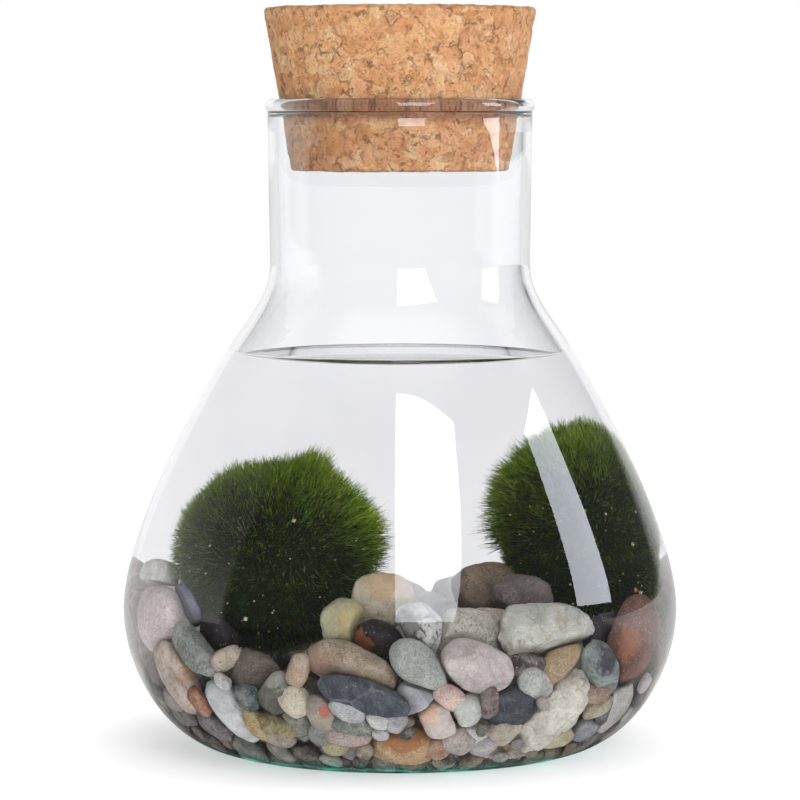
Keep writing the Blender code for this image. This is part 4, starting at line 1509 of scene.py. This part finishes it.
class MossFlaskSettings(bpy.types.PropertyGroup):
    """Everything that a user would change."""

    flask: PointerProperty(type=FlaskSettings)
    water: PointerProperty(type=WaterSettings)
    cork: PointerProperty(type=CorkSettings)
    moss: PointerProperty(type=MossSettings)
    bed: PointerProperty(type=BedSettings)
    stage: PointerProperty(type=StageSettings)


# Operators -------------------------------------------------------------------------------


class MOSSFLASK_OT_flask(bpy.types.Operator):
    """Blow the flask in clear glass"""

    bl_idname = "mossflask.flask"
    bl_label = "Glass Flask"

    def execute(self, context):
        settings = context.scene.moss_flask.flask
        mesh = turned_mesh("Flask", flask_outline(settings.steps), ROUND_STEPS)
        tint, low = opaque(settings.glass_tint), opaque(settings.base_tint)
        level = context.scene.moss_flask.water.level / MM
        material = clear_material(
            "Flask Glass",
            tint,
            GLASS_IOR,
            wave_size=14.0,
            wave_depth=0.00002,
            level=level,
            low_colour=low,
        )
        add_piece("flask_glass", mesh, material, "clear_glass", "flask")
        return {"FINISHED"}


class MOSSFLASK_OT_water(bpy.types.Operator):
    """Fill the flask with water"""

    bl_idname = "mossflask.water"
    bl_label = "Water"

    def execute(self, context):
        settings = context.scene.moss_flask.water
        level = settings.level / MM
        outline = water_outline(level, settings.edge_rise / MM, steps=60, overlap=0.25)
        mesh = turned_mesh("Water", outline, ROUND_STEPS)
        material = clear_material(
            "Clear Water",
            opaque(settings.tint),
            WATER_IOR,
            wave_size=30.0,
            wave_depth=0.00001,
            level=level - 0.05,
            thin_edge=0.6,
        )
        add_piece("still_water", mesh, material, "water", "water")
        return {"FINISHED"}


class MOSSFLASK_OT_cork(bpy.types.Operator):
    """Press the stopper from cork flakes"""

    bl_idname = "mossflask.cork"
    bl_label = "Cork Stopper"

    def execute(self, context):
        low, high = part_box("cork_stopper")
        mesh = cork_mesh("Cork", low[2] / MM, high[2] / MM, steps=400)
        material = cork_material(context.scene.moss_flask.cork)
        add_piece("cork_flakes", mesh, material, "cork", "cork_stopper")
        return {"FINISHED"}


class MOSSFLASK_OT_moss(bpy.types.Operator):
    """Grow the two moss balls"""

    bl_idname = "mossflask.moss"
    bl_label = "Moss Balls"

    def execute(self, context):
        settings = context.scene.moss_flask.moss
        felt = moss_core_material(settings)
        thread = moss_thread_material(settings)
        speck = gravel_material("Moss Bits", bpy.data.node_groups["Stone Grain"])
        length = settings.thread_length / MM
        for side, seed, comb, painted_light_heading in MOSS_BALLS:
            centre, half = node_box("moss_ball_" + side)
            half = half * np.array(MOSS_STRETCH[side])
            tufts = MOSS_TUFTS[side]
            core = moss_core_mesh(centre, half, seed, tufts)
            add_piece("moss_felt_" + side, core, felt, "moss", "moss_ball_" + side)
            coat = moss_threads_mesh(
                centre, half, seed, settings.threads, length, comb, tufts, painted_light_heading
            )
            add_piece("moss_threads_" + side, coat, thread, "moss")
            tips = moss_threads_mesh(
                centre, half, seed + 40, TIP_COUNT, length * TIP_LENGTH, 0.1, tufts, painted_light_heading, True
            )
            add_piece("moss_tips_" + side, tips, thread, "moss")
            bits = moss_bits_mesh(centre, half, seed, tufts)
            add_piece("moss_bits_" + side, bits, speck, "moss")
        return {"FINISHED"}


class MOSSFLASK_OT_pebbles(bpy.types.Operator):
    """Shape every pebble from its solid and give it its own stone"""

    bl_idname = "mossflask.pebbles"
    bl_label = "River Pebbles"

    def execute(self, context):
        grain = stone_group()
        patch_and_shade = patch_and_shade_group()
        names = sorted(name for name in frame["nodes"] if name.startswith("pebble_"))
        if not names:
            raise RuntimeError("the frame holds no pebbles")
        for number, node in enumerate(names):
            name = node[len("pebble_"):]
            look = PEBBLES.get(name, BACK_PEBBLES[number % len(BACK_PEBBLES)])
            # Stones that show at the front are finer than the hidden ones.
            rows, columns = (52, 92) if name in PEBBLES else (28, 48)
            mesh = pebble_mesh(node, look, number, rows, columns)
            centre, half = node_box(node)
            material = stone_material(name, look, grain, patch_and_shade, number, centre, half)
            add_piece("stone_" + name, mesh, material, stone_slot(node), node)
        return {"FINISHED"}


class MOSSFLASK_OT_gravel(bpy.types.Operator):
    """Pour the small stones into the gaps of the bed"""

    bl_idname = "mossflask.gravel"
    bl_label = "Gravel"

    def execute(self, context):
        settings = context.scene.moss_flask.bed
        grain = bpy.data.node_groups["Stone Grain"]
        side = MOUND_OUTLINE[:-1][::-1]
        outline = np.array([(0.0, MOUND_FOOT), (30.0, MOUND_FOOT), *side, (0.0, MOUND_TOP)])
        mound = turned_mesh("Mound", outline, 96)
        # Painted shade: the mound under the pebbles is dark all over, for the gaps of the bed.
        write_tint(mound, "stone", np.tile(linear(62, 54, 46), (len(mound.vertices), 1)))
        add_piece("gravel_mound", mound, gravel_material("Gravel Painted Shade", grain), "gravel", "gravel")
        material = gravel_material("Gravel Mix", grain)
        places, axes, half, tints = front_stones()
        front = small_stones_mesh(
            "Front Gravel", places, axes, half, tints, rows=14, columns=24, seed=21
        )
        add_piece("gravel_front", front, material, "gravel")
        places, axes, half, tints = fill_stones(settings.gravel_seed, settings.gravel_count)
        fill = small_stones_mesh(
            "Gap Gravel", places, axes, half, tints, rows=6, columns=8, seed=31
        )
        add_piece("gravel_gaps", fill, material, "gravel")
        return {"FINISHED"}


class MOSSFLASK_OT_stage(bpy.types.Operator):
    """Set up the white sweep, the two tall lights and the camera"""

    bl_idname = "mossflask.stage"
    bl_label = "Stage"

    def execute(self, context):
        settings = context.scene.moss_flask.stage
        self.floor()
        self.world(settings)
        for side, lamp in LAMPS.items():
            glint = self.light_box("glint_" + side, *lamp, GLINT_BRIGHTNESS[side], GLINT_COLOUR)
            glint.visible_diffuse = False
        for side, lamp in LAMPS.items():
            key = self.light_box("key_" + side, *lamp, KEY_BRIGHTNESS[side])
            key.visible_glossy = False
        lens = bpy.data.cameras.new("View")
        lens.lens = LENS
        lens.sensor_width = SENSOR
        lens.clip_start = 0.01
        view = bpy.data.objects.new("view", lens)
        view.location = (0.0, -settings.camera_distance, settings.camera_height)
        view.rotation_euler = (math.pi / 2 - settings.camera_pitch, 0.0, 0.0)
        context.scene.collection.objects.link(view)
        context.scene.camera = view
        context.scene.view_settings.view_transform = "Standard"
        return {"FINISHED"}

    def floor(self):
        """A glowing flat sweep a hair under the base, with a painted shadow round the flask."""
        grid = np.array([[-4.0, -4.0], [4.0, -4.0], [4.0, 6.0], [-4.0, 6.0]])
        points = np.concatenate([grid, np.full((4, 1), -0.0002)], axis=1)
        mesh = write_mesh("Floor", points, np.array([[0, 1, 2, 3]]))
        material, tree = empty_material("White Sweep")
        place = own_place(tree)
        tone = spread(tree, speckle(tree, place, 0.004, 2.0), 0.3, 0.7)
        colour = blend(tree, tone, (0.5, 0.5, 0.5, 1), (0.51, 0.51, 0.51, 1))
        white = (1.0, 1.0, 1.0, 1.0)
        path = add(tree, "ShaderNodeLightPath")
        mirrored = maths(tree, "GREATER_THAN", path.outputs["Glossy Depth"], 0.5)
        # In the glass's reflections the floor's colour is painted dark.
        colour = blend(tree, mirrored, colour, (0.06, 0.06, 0.06, 1))
        shader, _ = finish(tree, colour, 0.9, Specular_IOR_Level=0.0, Emission_Color=white)
        # The floor glows, though it is no lamp: painted light. The glow that the camera sees grows
        # away from the flask's axis, a painted shadow round the base. The one in the glass's
        # reflections fades towards the front, painted shade as well, and the one that lights other
        # surfaces is even.
        away = add(tree, "ShaderNodeVectorMath", {"operation": "LENGTH"})
        put(tree, away.inputs[0], place)
        glow_with_painted_shadow = spread(tree, away.outputs["Value"], 30.0, 90.0, 0.46, 0.82, True)
        parts = add(tree, "ShaderNodeSeparateXYZ", Vector=place)
        seen = spread(tree, parts.outputs[1], -10.0, 50.0, 0.03, 0.8)
        scattered = maths(tree, "GREATER_THAN", path.outputs["Diffuse Depth"], 0.5)
        glow_with_painted_shadow = spread(tree, scattered, 0.0, 1.0, glow_with_painted_shadow, 1.0)
        put(tree, shader.inputs["Emission Strength"], spread(tree, mirrored, 0.0, 1.0, glow_with_painted_shadow, seen))
        mesh.materials.append(material)
        floor = bpy.data.objects.new("white_sweep", mesh)
        bpy.context.scene.collection.objects.link(floor)

    def world(self, settings):
        """White behind, overhead and to the camera itself; darker before the flask.

        A low band goes round from the back, a fainter high one round from the sides, and a
        wall stands at the left.
        """
        world = bpy.data.worlds.new("Studio")
        bpy.context.scene.world = world
        world.use_nodes = True
        tree = world.node_tree
        tree.nodes.clear()
        start = add(tree, "ShaderNodeTexCoord")
        parts = add(tree, "ShaderNodeSeparateXYZ", Vector=start.outputs["Generated"])
        right, far, up = parts.outputs[:3]
        white = settings.back_light
        behind = spread(tree, far, 0.82, 0.87, settings.room_light, white)
        above = spread(tree, up, 0.75, 0.9, 0.0, white)
        beside = spread(tree, far, 0.72, 0.82, 0.0, white)
        low = times(tree, spread(tree, up, 0.1, 0.2, 0.8, 0.0), beside)
        high = times(tree, spread(tree, up, 0.48, 0.6), spread(tree, far, 0.0, 0.2, 0.0, 0.4))
        left = maths(tree, "LESS_THAN", right, 0.0)
        wall = times(tree, spread(tree, far, -0.22, -0.18), left)
        wall = times(tree, wall, spread(tree, up, 0.12, 0.4, 0.8, settings.left_wall))
        seen = add(tree, "ShaderNodeLightPath").outputs["Is Camera Ray"]
        light = behind
        for region in (above, low, high, wall, seen):
            light = maths(tree, "MAXIMUM", light, region)
        back = add(tree, "ShaderNodeBackground", Color=(1, 1, 1, 1), Strength=light)
        out = add(tree, "ShaderNodeOutputWorld")
        tree.links.new(back.outputs[0], out.inputs[0])
        world.cycles.sampling_method = "NONE"

    def light_box(self, name, place, turn, width, height, brightness, tint=(1.0, 1.0, 1.0)):
        """A rectangular lamp, brightness times as bright as a white card.

        turn is its bearing round the flask, its downward tilt and its roll, in degrees.
        """
        lamp = bpy.data.lights.new(name, "AREA")
        lamp.shape = "RECTANGLE"
        lamp.color = tint
        lamp.size = width
        lamp.size_y = height
        lamp.energy = brightness * math.pi * width * height
        holder = bpy.data.objects.new(name, lamp)
        heading, tilt, roll = (math.radians(part) for part in turn)
        facing = Matrix.Rotation(heading, 4, "Z") @ Matrix.Rotation(math.pi / 2 - tilt, 4, "X")
        holder.matrix_world = Matrix.Translation(place) @ facing @ Matrix.Rotation(roll, 4, "Z")
        holder.visible_camera = False
        holder.visible_transmission = False
        bpy.context.scene.collection.objects.link(holder)
        return holder


class MOSSFLASK_PT_panel(bpy.types.Panel):
    """The flask's pieces and settings"""

    bl_idname = "MOSSFLASK_PT_panel"
    bl_label = "Moss Ball Flask"
    bl_space_type = "VIEW_3D"
    bl_region_type = "UI"
    bl_category = "Moss Flask"

    def draw(self, context):
        layout = self.layout
        settings = context.scene.moss_flask
        for name in ("flask", "water", "cork", "moss", "bed", "stage"):
            box = layout.box()
            box.label(text=name.title())
            part = getattr(settings, name)
            for key in part.bl_rna.properties.keys():
                if key not in ("rna_type", "name"):
                    box.prop(part, key)
        for operator in OPERATORS:
            layout.operator(operator.bl_idname)


OPERATORS = (
    MOSSFLASK_OT_stage,
    MOSSFLASK_OT_flask,
    MOSSFLASK_OT_water,
    MOSSFLASK_OT_cork,
    MOSSFLASK_OT_pebbles,
    MOSSFLASK_OT_gravel,
    MOSSFLASK_OT_moss,
)

CLASSES = (
    FlaskSettings,
    WaterSettings,
    CorkSettings,
    MossSettings,
    BedSettings,
    StageSettings,
    MossFlaskSettings,
    *OPERATORS,
    MOSSFLASK_PT_panel,
)


def register():
    """Makes the classes and the scene's settings known to Blender."""
    for item in CLASSES:
        bpy.utils.register_class(item)
    bpy.types.Scene.moss_flask = PointerProperty(type=MossFlaskSettings)


def unregister():
    """Takes the settings and the classes out again."""
    del bpy.types.Scene.moss_flask
    for item in reversed(CLASSES):
        bpy.utils.unregister_class(item)


def main():
    """Builds the stage and every piece."""
    register()
    bpy.ops.mossflask.stage()
    bpy.ops.mossflask.flask()
    bpy.ops.mossflask.water()
    bpy.ops.mossflask.cork()
    bpy.ops.mossflask.pebbles()
    bpy.ops.mossflask.gravel()
    bpy.ops.mossflask.moss()


if __name__ == "__main__":
    main()
